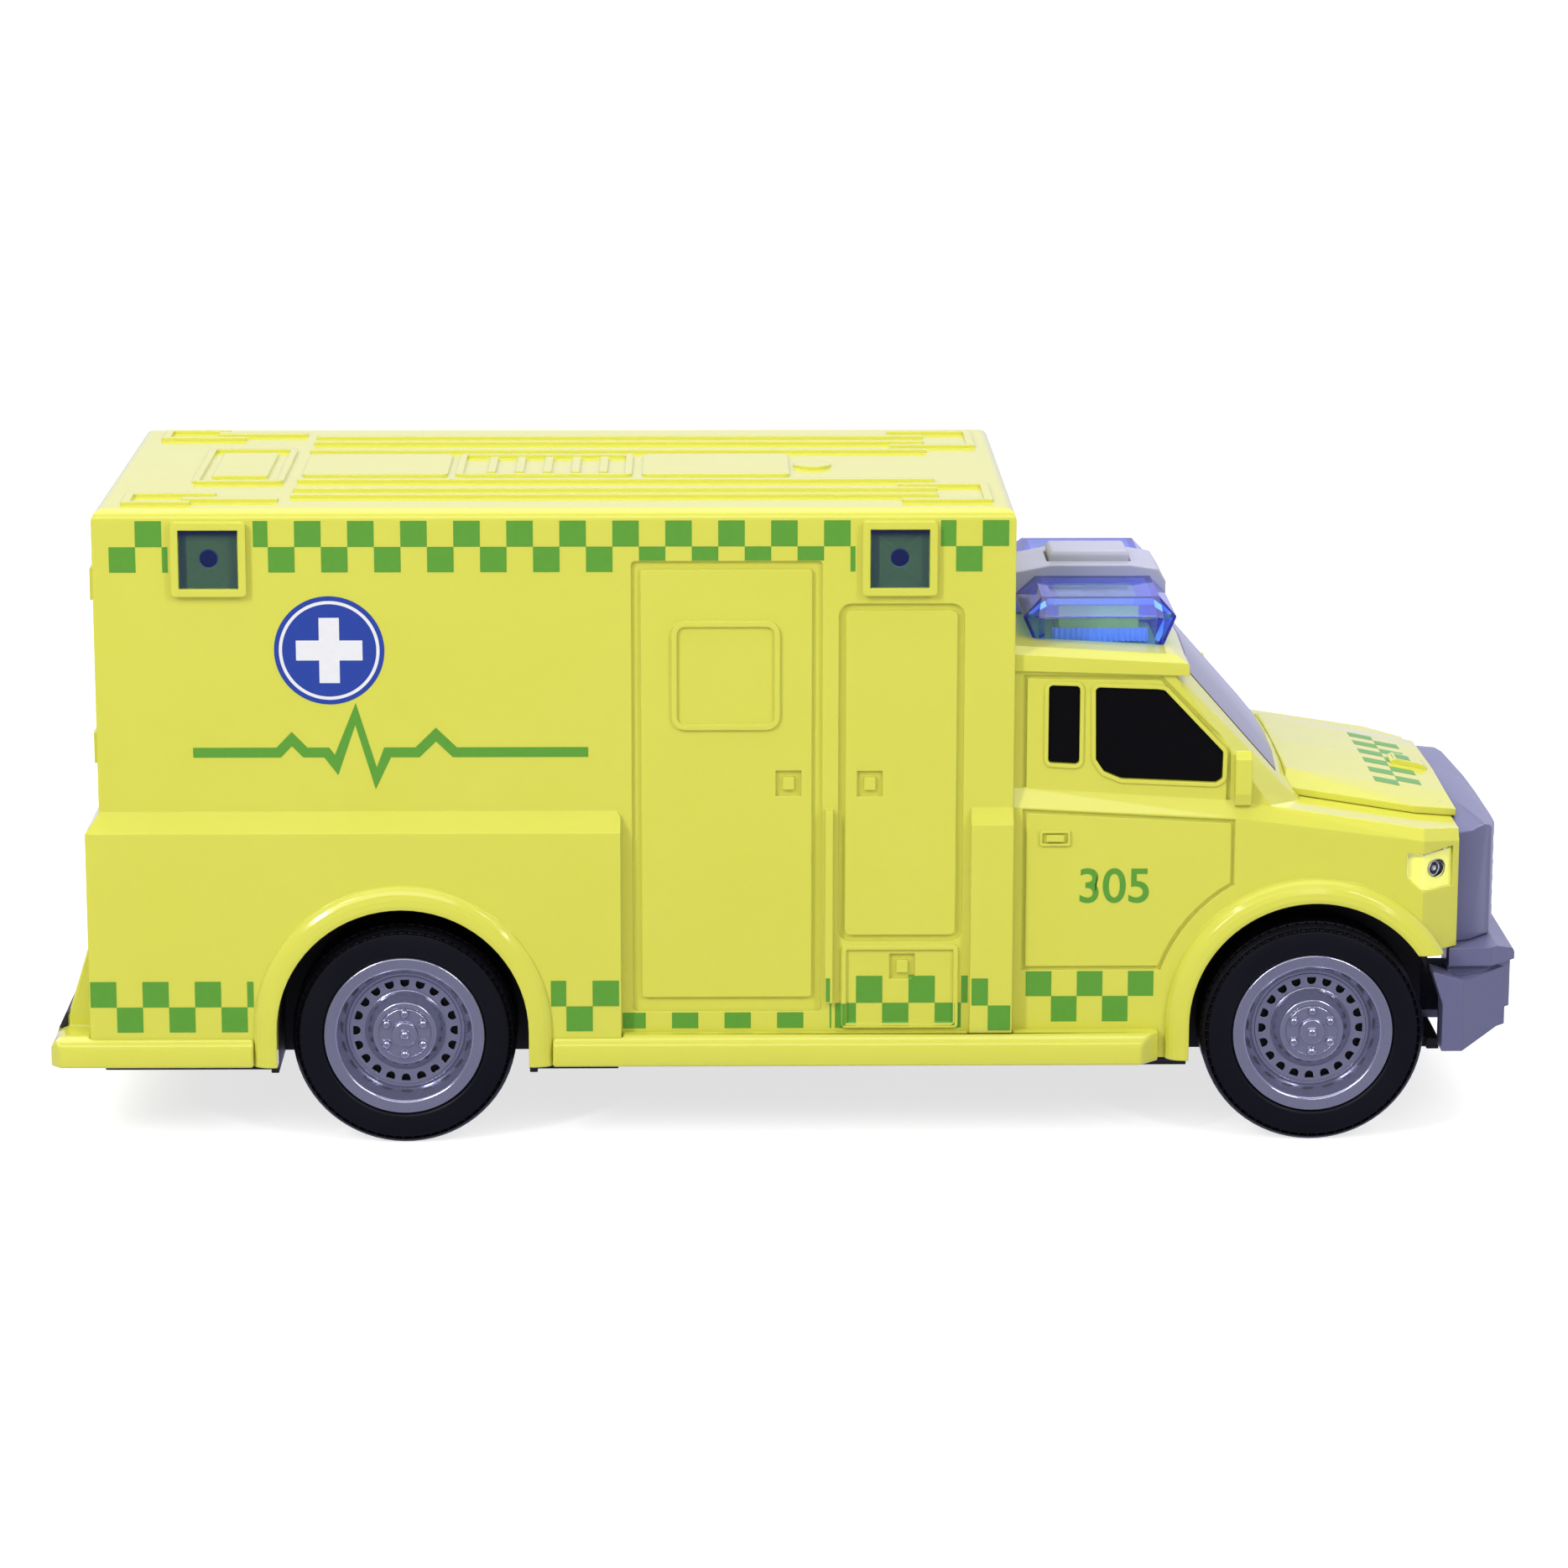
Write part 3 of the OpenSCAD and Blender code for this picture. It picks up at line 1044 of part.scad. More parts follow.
module button_cells() color(steel) for (i = [-1 : 1]) translate([battery_x + i * cell_pitch, 0, bay_z]) {
    cylinder(h = cell_t - 0.6, r = cell_r, $fn = 48);
    cylinder(h = cell_t, r = cell_r - 1, $fn = 48);
}

module cell_contacts() color(brass) for (i = [-1, 1]) translate([battery_x + i * (bay_l / 2 - 0.5), 0,
    bay_z])
    translate([-0.3, -3.5, 0.2]) cube([0.6, 7, cell_t]);

module sound_board() color(board_green) {
    block(battery_x - sound_l / 2, battery_x + sound_l / 2, -sound_w / 2, sound_w / 2, sound_z,
        sound_z + board_t);
    post(battery_x, 0, 4.4, sound_z, sound_z + board_t + 1.2);
    block(battery_x + 9, battery_x + 15, -6, -2, sound_z, sound_z + board_t + 2);
}

module speaker() color(steel) translate([speaker_x, 0, floor_z]) rotate_extrude($fn = 64)
    polygon([[0, 1.6], [speaker_r * 0.3, 1.2], [speaker_r * 0.86, 0.4], [speaker_r * 0.9, 0], [speaker_r, 0],
        [speaker_r, 1.4], [speaker_r * 0.66, speaker_t - 1.6], [speaker_r * 0.6, speaker_t], [0,
        speaker_t]]);

// Wheels and axles

module axle(x) color(steel) rod(x, axle_z, axle_r, -track_w / 2 + 3, track_w / 2 - 3);
module front_axle() axle(front_axle_x);
module rear_axle() axle(rear_axle_x);

// Puts a wheel piece that is drawn around Z, outer face up, on its axle
module on_axle(x, side) translate([x, side * track_w / 2, axle_z]) rotate([-90 * side, 0, 0]) children();

module tyre_form() difference() {
    rotate_extrude($fn = 96) polygon([[rim_r, -tyre_w], [tyre_r - 1.6, -tyre_w], [tyre_r, -tyre_w + 1.6],
        [tyre_r, -1.8], [tyre_r - 0.5, -0.8], [tyre_r - 1.4, -0.2], [tyre_r - 2.6, 0], [rim_r + 1.4, -0.1],
        [rim_r, -0.8]]);
    for (i = [0 : 35]) rotate([0, 0, i * 10]) translate([tyre_r - 0.5, -0.55, -3]) cube([2, 1.1, 4]);
}

module tyre_front_right() color(rubber) on_axle(front_axle_x, -1) tyre_form();
module tyre_front_left() color(rubber) on_axle(front_axle_x, 1) tyre_form();
module tyre_rear_right() color(rubber) on_axle(rear_axle_x, -1) tyre_form();
module tyre_rear_left() color(rubber) on_axle(rear_axle_x, 1) tyre_form();

module wheel_form() difference() {
    union() {
        rotate_extrude($fn = 96) polygon([[axle_r + 0.02, -tyre_w - 1.6], [4, -tyre_w - 1.6], [4, -6],
            [rim_r - 2, -6], [rim_r - 2, -tyre_w + 0.4], [rim_r, -tyre_w + 0.4], [rim_r, -0.7],
            [rim_r - 0.5, -0.3], [rim_r - 1.3, -0.5], [rim_r - 3.4, -2.2], [rim_r - 3.6, -3], [8.4, -3],
            [7.8, -1.4], [7.2, -1], [5.2, -0.9], [4.8, -0.5], [2.7, -0.5], [2.6, 0.1], [2, 0.1], [1.8, -0.4],
            [axle_r + 0.02, -0.4]]);
        for (i = [0 : 5]) rotate([0, 0, i * 60]) translate([3.9, 0, -1]) cylinder(h = 1, r1 = 0.8,
            r2 = 0.5, $fn = 20);
        translate([0, 0, -1.6]) cylinder(h = 1.4, r = 1.9, $fn = 32);
    }
    for (i = [0 : 19]) rotate([0, 0, i * 18]) translate([10.1, 0, -4.4]) cylinder(h = 3, r = 0.9, $fn = 20);
}

module wheel_front_right() color(silver) on_axle(front_axle_x, -1) wheel_form();
module wheel_front_left() color(silver) on_axle(front_axle_x, 1) wheel_form();
module wheel_rear_right() color(silver) on_axle(rear_axle_x, -1) wheel_form();
module wheel_rear_left() color(silver) on_axle(rear_axle_x, 1) wheel_form();

// The friction motor

function involute(r, t) = [r * (cos(t) + t * PI / 180 * sin(t)), r * (sin(t) - t * PI / 180 * cos(t))];
function involute_at(base, r) = sqrt(max(pow(r / base, 2) - 1, 0)) * 180 / PI;
function turn(p, a) = [p[0] * cos(a) - p[1] * sin(a), p[0] * sin(a) + p[1] * cos(a)];
// One tooth centred on X, as points from its right foot to its left foot
function tooth(teeth) = let (rp = gear_m * teeth / 2, rb = rp * cos(gear_ang), ra = rp + gear_add * gear_m,
    rf = rp - 1.1 * gear_m, r0 = max(rb, rf), tp = involute_at(rb, rp),
    at_pitch = atan2(involute(rb, tp)[1], involute(rb, tp)[0]),
    half = 90 / teeth - gear_slack / 2 / rp * 180 / PI, spin = -half - at_pitch, t0 = involute_at(rb, r0),
    t1 = involute_at(rb, ra), right = [for (i = [0 : 4]) turn(involute(rb, t0 + (t1 - t0) * i / 4), spin)],
    foot = turn([rf, 0], atan2(right[0][1], right[0][0])))
    concat([foot], right, [for (i = [4 : -1 : 0]) [right[i][0], -right[i][1]]], [[foot[0], -foot[1]]]);

module gear2d(teeth) polygon([for (k = [0 : teeth - 1]) for (p = tooth(teeth)) turn(p, 360 * k / teeth)]);

// Turns a gear about its own axle by a, in the X-Z plane seen from the right
module gear(x, z, teeth, a, y0, y1) translate([x, y1, z]) rotate([90, 0, 0]) rotate([0, 0, a])
    linear_extrude(y1 - y0) gear2d(teeth);

gear_y = [-7, -2];
cluster_y = [-1, 2.5];
flywheel_y = [4, 11];
pinion_turn = cluster_dir + 180 + 180 / pinion_teeth;
fly_turn = 180 + 180 / pinion_teeth;

module axle_gear() color(white) difference() {
    gear(rear_axle_x, axle_z, axle_teeth, cluster_dir, gear_y[0], gear_y[1]);
    rod(rear_axle_x, axle_z, axle_r + 0.02, gear_y[0] - 1, gear_y[1] + 1);
}

module cluster_gear() color(white) {
    gear(cluster_x, cluster_z, pinion_teeth, pinion_turn, gear_y[0], cluster_y[0] + 0.1);
    gear(cluster_x, cluster_z, cluster_teeth, 0, cluster_y[0], cluster_y[1]);
    rod(cluster_x, cluster_z, shaft_r, motor_y0 - motor_wall, motor_y1 + motor_wall);
    rod(cluster_x, cluster_z, shaft_r + 0.8, motor_y0 + 0.3, motor_y1 - 0.3);
}

module flywheel() color(steel) {
    gear(flywheel_x, flywheel_z, pinion_teeth, fly_turn, cluster_y[0], flywheel_y[0] + 0.1);
    rod(flywheel_x, flywheel_z, flywheel_r, flywheel_y[0], flywheel_y[1]);
    rod(flywheel_x, flywheel_z, shaft_r, motor_y0 - motor_wall, motor_y1 + motor_wall);
    rod(flywheel_x, flywheel_z, shaft_r + 0.6, motor_y0 + 0.3, motor_y1 - 0.3);
}

// The motor's outline, grown by g, below z_max
module motor_outline(g, y0, y1, z_max) intersection() {
    along_y(y0, y1) hull() {
        translate([rear_axle_x, axle_z]) circle(r = axle_pitch + gear_m + g, $fn = 48);
        translate([cluster_x, cluster_z]) circle(r = cluster_pitch + gear_m + g, $fn = 48);
        translate([flywheel_x, flywheel_z]) circle(r = flywheel_r + g, $fn = 48);
    }
    block(x_rear, nose_x, -60, 60, 0, z_max);
}

module shaft_bores(y0, y1) {
    rod(rear_axle_x, axle_z, axle_r + run_gap, y0, y1);
    rod(cluster_x, cluster_z, shaft_r + run_gap, y0, y1);
    rod(flywheel_x, flywheel_z, shaft_r + run_gap, y0, y1);
}

module motor_housing() color(white) difference() {
    union() {
        motor_outline(motor_gap + motor_wall, motor_y0 - motor_wall, motor_y1, roof_z);
        for (x = [motor_ear_x0, motor_ear_x1]) {
            post(x, 2, boss_r, ear_z, ear_z + ear_t);
            block(min(x, rear_axle_x), max(x, rear_axle_x), 2 - boss_r, 2 + boss_r, ear_z, ear_z + ear_t);
        }
    }
    motor_outline(motor_gap, motor_y0, motor_y1 + 1, roof_z);
    shaft_bores(motor_y0 - motor_wall - 1, motor_y0 + 1);
    for (x = [motor_ear_x0, motor_ear_x1]) post(x, 2, screw_r + 0.3, ear_z - 1, ear_z + ear_t + 1);
}

module motor_cover() color(white) difference() {
    motor_outline(motor_gap + motor_wall, motor_y1, motor_y1 + motor_wall, roof_z);
    shaft_bores(motor_y1 - 1, motor_y1 + motor_wall + 1);
}

module motor_screws() color(steel) for (x = [motor_ear_x0, motor_ear_x1]) {
    post(x, 2, screw_r, ear_z - 5, ear_z + ear_t + 0.1);
    translate([x, 2, ear_z + ear_t]) difference() {
        cylinder(h = head_h, r1 = screw_head_r, r2 = screw_head_r - 0.4, $fn = 40);
        for (a = [0, 90]) rotate([0, 0, a]) translate([-1.3, -0.3, head_h - 0.7]) cube([2.6, 0.6, 1]);
    }
}

box_shell();
cab_shell();
bonnet();
running_board_right();
running_board_left();
rear_step();
rear_pad();
grille();
bumper();
windscreen();
side_window_right();
side_window_left();
saddle();
bar_lens_right();
bar_lens_left();
button();
dome();
bar_board();
bar_leds();
lamp_lens_rear_right();
lamp_lens_front_right();
lamp_lens_rear_left();
lamp_lens_front_left();
headlamp_right();
headlamp_left();
chassis();
body_screws();
battery_door();
battery_screw();
button_cells();
cell_contacts();
sound_board();
speaker();
front_axle();
rear_axle();
tyre_front_right();
tyre_front_left();
tyre_rear_right();
tyre_rear_left();
wheel_front_right();
wheel_front_left();
wheel_rear_right();
wheel_rear_left();
motor_housing();
motor_cover();
motor_screws();
axle_gear();
cluster_gear();
flywheel();
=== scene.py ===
"""Looks of a toy ambulance: finishes, printed bands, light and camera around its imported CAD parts."""

import json
import math

import bmesh
import bpy
from mathutils import Matrix, Vector
from mathutils.bvhtree import BVHTree


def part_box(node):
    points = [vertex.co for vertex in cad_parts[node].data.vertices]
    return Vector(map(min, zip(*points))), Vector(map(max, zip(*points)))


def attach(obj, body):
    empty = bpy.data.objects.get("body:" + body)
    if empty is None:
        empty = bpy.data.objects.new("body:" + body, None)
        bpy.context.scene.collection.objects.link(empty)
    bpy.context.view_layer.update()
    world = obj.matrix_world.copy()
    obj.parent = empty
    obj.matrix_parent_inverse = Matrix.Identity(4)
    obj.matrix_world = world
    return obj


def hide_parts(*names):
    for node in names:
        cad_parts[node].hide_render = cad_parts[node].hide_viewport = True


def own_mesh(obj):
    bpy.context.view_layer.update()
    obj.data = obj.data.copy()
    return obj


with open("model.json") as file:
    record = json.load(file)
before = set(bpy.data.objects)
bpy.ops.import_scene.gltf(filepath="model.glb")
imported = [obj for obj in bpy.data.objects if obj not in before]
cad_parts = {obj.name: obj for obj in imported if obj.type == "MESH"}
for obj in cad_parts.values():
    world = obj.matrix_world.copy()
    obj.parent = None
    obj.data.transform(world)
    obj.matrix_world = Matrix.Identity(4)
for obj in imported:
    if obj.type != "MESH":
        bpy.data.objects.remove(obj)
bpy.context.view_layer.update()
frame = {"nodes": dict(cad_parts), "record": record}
nodes = frame["nodes"]
MM = 0.001
WELD_MM = 0.001
SIDES = {"right": -1, "left": 1}


def linear(code):
    """An sRGB hex colour as linear RGBA."""
    channels = [int(code[i:i + 2], 16) / 255 for i in (1, 3, 5)]
    return tuple(c / 12.92 if c <= 0.04045 else ((c + 0.055) / 1.055) ** 2.4 for c in channels) + (1.0,)


def add(tree, kind, inputs=None, **settings):
    """A shader node of that kind, with its settings, and with values or links in its inputs."""
    node = tree.nodes.new(kind)
    for name, value in settings.items():
        setattr(node, name, value)
    for name, value in (inputs or {}).items():
        if isinstance(value, bpy.types.NodeSocket):
            tree.links.new(value, node.inputs[name])
        else:
            node.inputs[name].default_value = value
    return node


def blank(name):
    """A material with no nodes yet, and its tree."""
    material = bpy.data.materials.new(name)
    material.use_nodes = True
    material.node_tree.nodes.clear()
    return material, material.node_tree


def loose(name, mesh, finish):
    """A mesh object that isn't in the scene yet."""
    data = bpy.data.meshes.new(name)
    mesh.to_mesh(data)
    mesh.free()
    data.materials.append(finish)
    return bpy.data.objects.new(name, data)


def shown(thing):
    """Puts an object in the scene."""
    bpy.context.scene.collection.objects.link(thing)
    return thing


# Finishes

MIX_A, MIX_B, MIX_RESULT = 6, 7, 2
MIX_NUMBER_A, MIX_NUMBER_B = 2, 3
WHITE = linear("#ffffff")


def moulded(name, deep, pale, roughness, ior, peel_mm, peel_depth_mm, edge_mm=0.2, flow_mm=22, spread=0.12,
            **more):
    """Pieces from a mould or a press: flow clouds in colour and gloss, a faint peel and soft edges."""
    material, tree = blank(name)
    place = add(tree, "ShaderNodeTexCoord").outputs["Object"]
    flow = add(tree, "ShaderNodeTexNoise", {"Vector": place, "Scale": 1 / (flow_mm * MM), "Detail": 4.0})
    peel = add(tree, "ShaderNodeTexNoise", {"Vector": place, "Scale": 1 / (peel_mm * MM), "Detail": 2.0})
    colour = add(tree, "ShaderNodeMix", {0: flow.outputs["Fac"], MIX_A: linear(deep), MIX_B: linear(pale)},
                 data_type="RGBA")
    gloss = add(tree, "ShaderNodeMapRange", {
        "Value": flow.outputs["Fac"], "From Min": 0.3, "From Max": 0.7,
        "To Min": roughness * (1 - spread), "To Max": roughness * (1 + spread)})
    edge = add(tree, "ShaderNodeBevel", {"Radius": edge_mm * MM}, samples=6)
    bump = add(tree, "ShaderNodeBump", {
        "Height": peel.outputs["Fac"], "Strength": 1.0, "Distance": peel_depth_mm * MM,
        "Normal": edge.outputs["Normal"]})
    shader = add(tree, "ShaderNodeBsdfPrincipled", {
        "Base Color": colour.outputs[MIX_RESULT], "Roughness": gloss.outputs["Result"], "IOR": ior,
        "Normal": bump.outputs["Normal"], **more})
    add(tree, "ShaderNodeOutputMaterial", {"Surface": shader.outputs["BSDF"]})
    return material


def clear(name, tint, depth_mm, roughness, dye=0.0, dye_colour="#ffffff", ior=1.59, peel_mm=5,
          peel_depth_mm=0.02):
    """Clear plastic: bends and tints what is behind it, with a trace of dye, and lets lamp light in."""
    material, tree = blank(name)
    place = add(tree, "ShaderNodeTexCoord").outputs["Object"]
    peel = add(tree, "ShaderNodeTexNoise", {"Vector": place, "Scale": 1 / (peel_mm * MM), "Detail": 1.0})
    bump = add(tree, "ShaderNodeBump", {
        "Height": peel.outputs["Fac"], "Strength": 1.0, "Distance": peel_depth_mm * MM})
    pane = add(tree, "ShaderNodeBsdfPrincipled", {
        "Base Color": WHITE, "Roughness": roughness, "IOR": ior, "Transmission Weight": 1.0,
        "Normal": bump.outputs["Normal"]})
    haze = add(tree, "ShaderNodeBsdfDiffuse", {"Color": linear(dye_colour)})
    body = add(tree, "ShaderNodeMixShader", {0: dye, 1: pane.outputs["BSDF"], 2: haze.outputs["BSDF"]})
    lamp_light = add(tree, "ShaderNodeBsdfTransparent", {"Color": WHITE})
    shadow = add(tree, "ShaderNodeLightPath").outputs["Is Shadow Ray"]
    wall = add(tree, "ShaderNodeMixShader", {
        0: shadow, 1: body.outputs["Shader"], 2: lamp_light.outputs["BSDF"]})
    inside = add(tree, "ShaderNodeVolumeAbsorption", {
        "Color": linear(tint), "Density": 1 / (depth_mm * MM)})
    add(tree, "ShaderNodeOutputMaterial", {
        "Surface": wall.outputs["Shader"], "Volume": inside.outputs["Volume"]})
    return material


def plated(name, deep, pale, roughness, grain_mm, spread=0.3):
    """Plated metal: a grain in its colour and gloss, drawn coarser than the real one so that it shows."""
    material, tree = blank(name)
    place = add(tree, "ShaderNodeTexCoord").outputs["Object"]
    grain = add(tree, "ShaderNodeTexNoise", {"Vector": place, "Scale": 1 / (grain_mm * MM), "Detail": 5.0})
    colour = add(tree, "ShaderNodeMix", {0: grain.outputs["Fac"], MIX_A: linear(deep), MIX_B: linear(pale)},
                 data_type="RGBA")
    gloss = add(tree, "ShaderNodeMapRange", {
        "Value": grain.outputs["Fac"],
        "To Min": roughness * (1 - spread), "To Max": roughness * (1 + spread)})
    shader = add(tree, "ShaderNodeBsdfPrincipled", {
        "Base Color": colour.outputs[MIX_RESULT], "Metallic": 1.0, "Roughness": gloss.outputs["Result"]})
    add(tree, "ShaderNodeOutputMaterial", {"Surface": shader.outputs["BSDF"]})
    return material


def pad_printed(name, deep, pale, roughness=0.36, ior=1.5, spot_mm=1.2):
    """Pad-printing ink: a thin flat film with a soft gloss over the plastic, a little thinner in spots.

    The spots are drawn coarser than real ones, so that they show.
    """
    material, tree = blank(name)
    place = add(tree, "ShaderNodeTexCoord").outputs["Object"]
    spots = add(tree, "ShaderNodeTexNoise", {"Vector": place, "Scale": 1 / (spot_mm * MM), "Detail": 4.0})
    colour = add(tree, "ShaderNodeMix", {0: spots.outputs["Fac"], MIX_A: linear(deep), MIX_B: linear(pale)},
                 data_type="RGBA")
    shader = add(tree, "ShaderNodeBsdfPrincipled", {
        "Base Color": colour.outputs[MIX_RESULT], "Roughness": roughness, "IOR": ior})
    add(tree, "ShaderNodeOutputMaterial", {"Surface": shader.outputs["BSDF"]})
    return material


# A polished mould, and a trace of light inside the plastic: a clear gloss over a warm, even yellow
yellow_abs = moulded("moulded_yellow_abs", "#d8d750", "#dcdb5a", roughness=0.11, ior=1.53,
                     peel_mm=7, peel_depth_mm=0.006, edge_mm=0.35,
                     **{"Subsurface Weight": 0.15, "Subsurface Radius": (1.0, 0.9, 0.3),
                        "Subsurface Scale": 1.5 * MM})
# A duller mould: wide soft highlights on a bluish grey
grey_abs = moulded("moulded_grey_abs", "#64648a", "#6c6c92", roughness=0.3, ior=1.53,
                   peel_mm=1.2, peel_depth_mm=0.004, edge_mm=0.3)
# A paler copy of the same grey, for the saddle and the button: soft highlights that round off the light bar's
# edges
pale_grey_abs = moulded("moulded_pale_grey_abs", "#aeafc0", "#b6b7c8", roughness=0.25, ior=1.53,
                        peel_mm=1.2, peel_depth_mm=0.004, edge_mm=0.3)
# A blasted mould: a milky face that brightens the lens in front of it
frosted_styrene = moulded("frosted_polystyrene", "#d2d8e6", "#dee3ee", roughness=0.4, ior=1.59,
                          peel_mm=0.6, peel_depth_mm=0.01)
# A plain mould and a waxy plastic: a dull black with weak highlights, also used as painted shade inside the
# wheel's windows
black_pp = moulded("moulded_black_polypropylene", "#17171b", "#1d1d22", roughness=0.5, ior=1.49,
                   peel_mm=0.8, peel_depth_mm=0.01)
# A polished mould: sharp reflections over black, as on dark glass
black_acrylic = moulded("moulded_black_acrylic", "#0a0a0d", "#0e0e12", roughness=0.12, ior=1.49,
                        peel_mm=9, peel_depth_mm=0.006)
# A satin mould with little shine: side windows that stay black next to the yellow
black_styrene = moulded("moulded_black_polystyrene", "#08080a", "#0c0c0f", roughness=0.3, ior=1.5,
                        peel_mm=1.5, peel_depth_mm=0.006, **{"Specular IOR Level": 0.1})
# Foam with cut cells: a matt, lightly pitted black
black_eva = moulded("foamed_black_eva", "#1c1c22", "#26262c", roughness=0.6, ior=1.5,
                    peel_mm=0.6, peel_depth_mm=0.03)
# Soft vinyl from a plain mould: a bluish black with a low sheen on the walls
black_pvc = moulded("moulded_black_pvc", "#0b0b14", "#12121c", roughness=0.42, ior=1.52,
                    peel_mm=0.9, peel_depth_mm=0.008, **{"Specular IOR Level": 0.16})
# Metal flakes under a thin lacquer: a soft metal shine with a sharper glint over it
silver_abs = moulded("silver_painted_abs", "#a6a6bc", "#b2b2c8", roughness=0.2, ior=1.53,
                     peel_mm=8, peel_depth_mm=0.003, edge_mm=0.05, Metallic=0.85,
                     **{"Coat Weight": 0.6, "Coat Roughness": 0.1})
# Plastic without pigment: a waxy off-white
natural_pp = moulded("moulded_natural_polypropylene", "#cfcec6", "#d8d7d0", roughness=0.45, ior=1.49,
                     peel_mm=1.0, peel_depth_mm=0.008)
# Hard gear plastic: a clean white with a low gloss
white_pom = moulded("moulded_white_acetal", "#e4e3dc", "#ecebe6", roughness=0.35, ior=1.48,
                    peel_mm=1.0, peel_depth_mm=0.004)
# Soft rubber: a matt pale grey
silicone = moulded("moulded_grey_silicone", "#b9b8b0", "#c2c1ba", roughness=0.6, ior=1.43,
                   peel_mm=0.8, peel_depth_mm=0.01)
# Lacquer over glass cloth: a satin green with a fine unevenness
board_lacquer = moulded("lacquered_circuit_board", "#1f6a3a", "#277a45", roughness=0.35, ior=1.55,
                        peel_mm=0.6, peel_depth_mm=0.01)
# Pressed fibre: a dry, grainy black
speaker_paper = moulded("pressed_speaker_paper", "#18181a", "#222224", roughness=0.75, ior=1.5,
                        peel_mm=0.4, peel_depth_mm=0.03)
# Zinc plating: bright grey with a fine grain
steel = plated("plated_steel", "#a6a8ad", "#c2c4c8", roughness=0.28, grain_mm=0.6)
# Tin plating: a warmer grey with a softer shine
spring_steel = plated("tinned_spring_steel", "#b8b4a4", "#cfccbe", roughness=0.3, grain_mm=0.5)
# A thin tinted shell: bright blue where light passes, deeper along its edges
blue_lens = clear("moulded_blue_polystyrene", "#1cb4fc", depth_mm=1.3, roughness=0.03, dye=0.07,
                  dye_colour="#2a4ae6")
# A tinted lens over a dark well: a dim blue with one clean highlight
deep_blue_lens = clear("moulded_deep_blue_polystyrene", "#2ea8ec", depth_mm=2.0, roughness=0.03, dye=0.05,
                       dye_colour="#2a5ae6")
# A clear pane, its IOR lowered to the weak reflections it shows: ring and bulb stay in sight
clear_lens = clear("moulded_clear_polystyrene", "#f2f5f7", depth_mm=8, roughness=0.03, ior=1.38)
# A lamp's cast body: a pale blue drop with a round highlight
lamp_epoxy = clear("cast_blue_epoxy", "#8fa8f6", depth_mm=3, roughness=0.06)
# Printed films: even colours, duller than the gloss around them
green_ink = pad_printed("pad_printed_green_ink", "#569a2c", "#60a434")
blue_ink = pad_printed("pad_printed_blue_ink", "#1d3c9c", "#2444a8")
white_ink = pad_printed("pad_printed_white_ink", "#e4e4ea", "#eeeef2")

FINISH = {
    "yellow_abs": yellow_abs, "grey_abs": grey_abs, "black_pad": black_eva, "black_glazing": black_acrylic,
    "blue_lens": blue_lens, "clear_lens": clear_lens, "dome_rubber": silicone, "circuit_board": board_lacquer,
    "blue_lamp": lamp_epoxy, "black_pp": black_pp, "motor_pp": natural_pp, "steel": steel,
    "contact_metal": spring_steel, "speaker_black": speaker_paper, "tyre_pvc": black_pvc,
    "silver_rim": silver_abs, "gear_pom": white_pom,
}


# Soft moulded edges on the CAD parts

FLAT_DEG = 0.6
EDGE_DEG = 32
EDGE_MM = {
    "running_board_right": 0.5, "running_board_left": 0.5, "rear_step": 0.5, "rear_pad": 0.3, "grille": 0.4,
    "windscreen": 0.15, "side_window_right": 0.15, "side_window_left": 0.15, "saddle": 0.4, "button": 0.35,
    "chassis": 0.2, "battery_door": 0.2,
}


def flat_first(piece, keep_sharp):
    """Lets large flat faces keep their own shading next to narrow roundings."""
    normals = piece.modifiers.new("normals", "WEIGHTED_NORMAL")
    normals.keep_sharp = keep_sharp
    normals.weight = 80


def soften(name, radius_mm):
    """Rounds a CAD part's edges the way a mould does, with modifiers only."""
    part = nodes[name]
    weld = part.modifiers.new("weld", "WELD")
    weld.merge_threshold = WELD_MM * MM
    flat = part.modifiers.new("flat faces", "DECIMATE")
    flat.decimate_type = "DISSOLVE"
    flat.angle_limit = math.radians(FLAT_DEG)
    edge = part.modifiers.new("edge", "BEVEL")
    edge.width = radius_mm * MM
    edge.segments = 3
    edge.limit_method = "ANGLE"
    edge.angle_limit = math.radians(EDGE_DEG)
    edge.use_clamp_overlap = False
    edge.miter_outer = "MITER_ARC"
    flat_first(part, False)


for subpart in frame["record"]["subparts"]:
    part = nodes[subpart["node"]]
    part.data.materials.clear()
    part.data.materials.append(FINISH[subpart["material_slot"]])
for word in SIDES:
    nodes["side_window_" + word].data.materials[0] = black_styrene
    for end in ("rear", "front"):
        nodes["lamp_lens_" + end + "_" + word].data.materials[0] = deep_blue_lens
for name in ("saddle", "button"):
    nodes[name].data.materials[0] = pale_grey_abs
for name, radius_mm in EDGE_MM.items():
    soften(name, radius_mm)


# Wheels and tyres, turned as on a lathe, in mm, with heights from the tyre's outer face

low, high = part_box("tyre_front_right")
TYRE_R = (high[2] - low[2]) / 2 / MM
TYRE_W = (high[1] - low[1]) / MM
low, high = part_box("wheel_front_right")
RIM_R = (high[2] - low[2]) / 2 / MM
WHEEL_STEPS = 144
AXLE_R = 1.6
BOSS_R = 2.1
BOSS_H = -1.1
BOSS_EDGE = 0.3
CENTRE_STUD_R = 1.0
CENTRE_STUD_H = -1.15
PLATE_R = 4.7
PLATE_H = -1.9
LUGS = 6
LUG_CIRCLE_R = 4.0
LUG_R = 0.92
LUG_H = -1.7
HAT_R = 5.7
HAT_H = -2.15
HAT_EDGE = 0.45
FLANGE_IN_R = 8.4
FLANGE_OUT_R = 10.6
FLANGE_H = -4.4
HOLES = 20
HOLE_CIRCLE_R = 9.4
HOLE_R = 0.85
HOLE_FLAT = 0.55
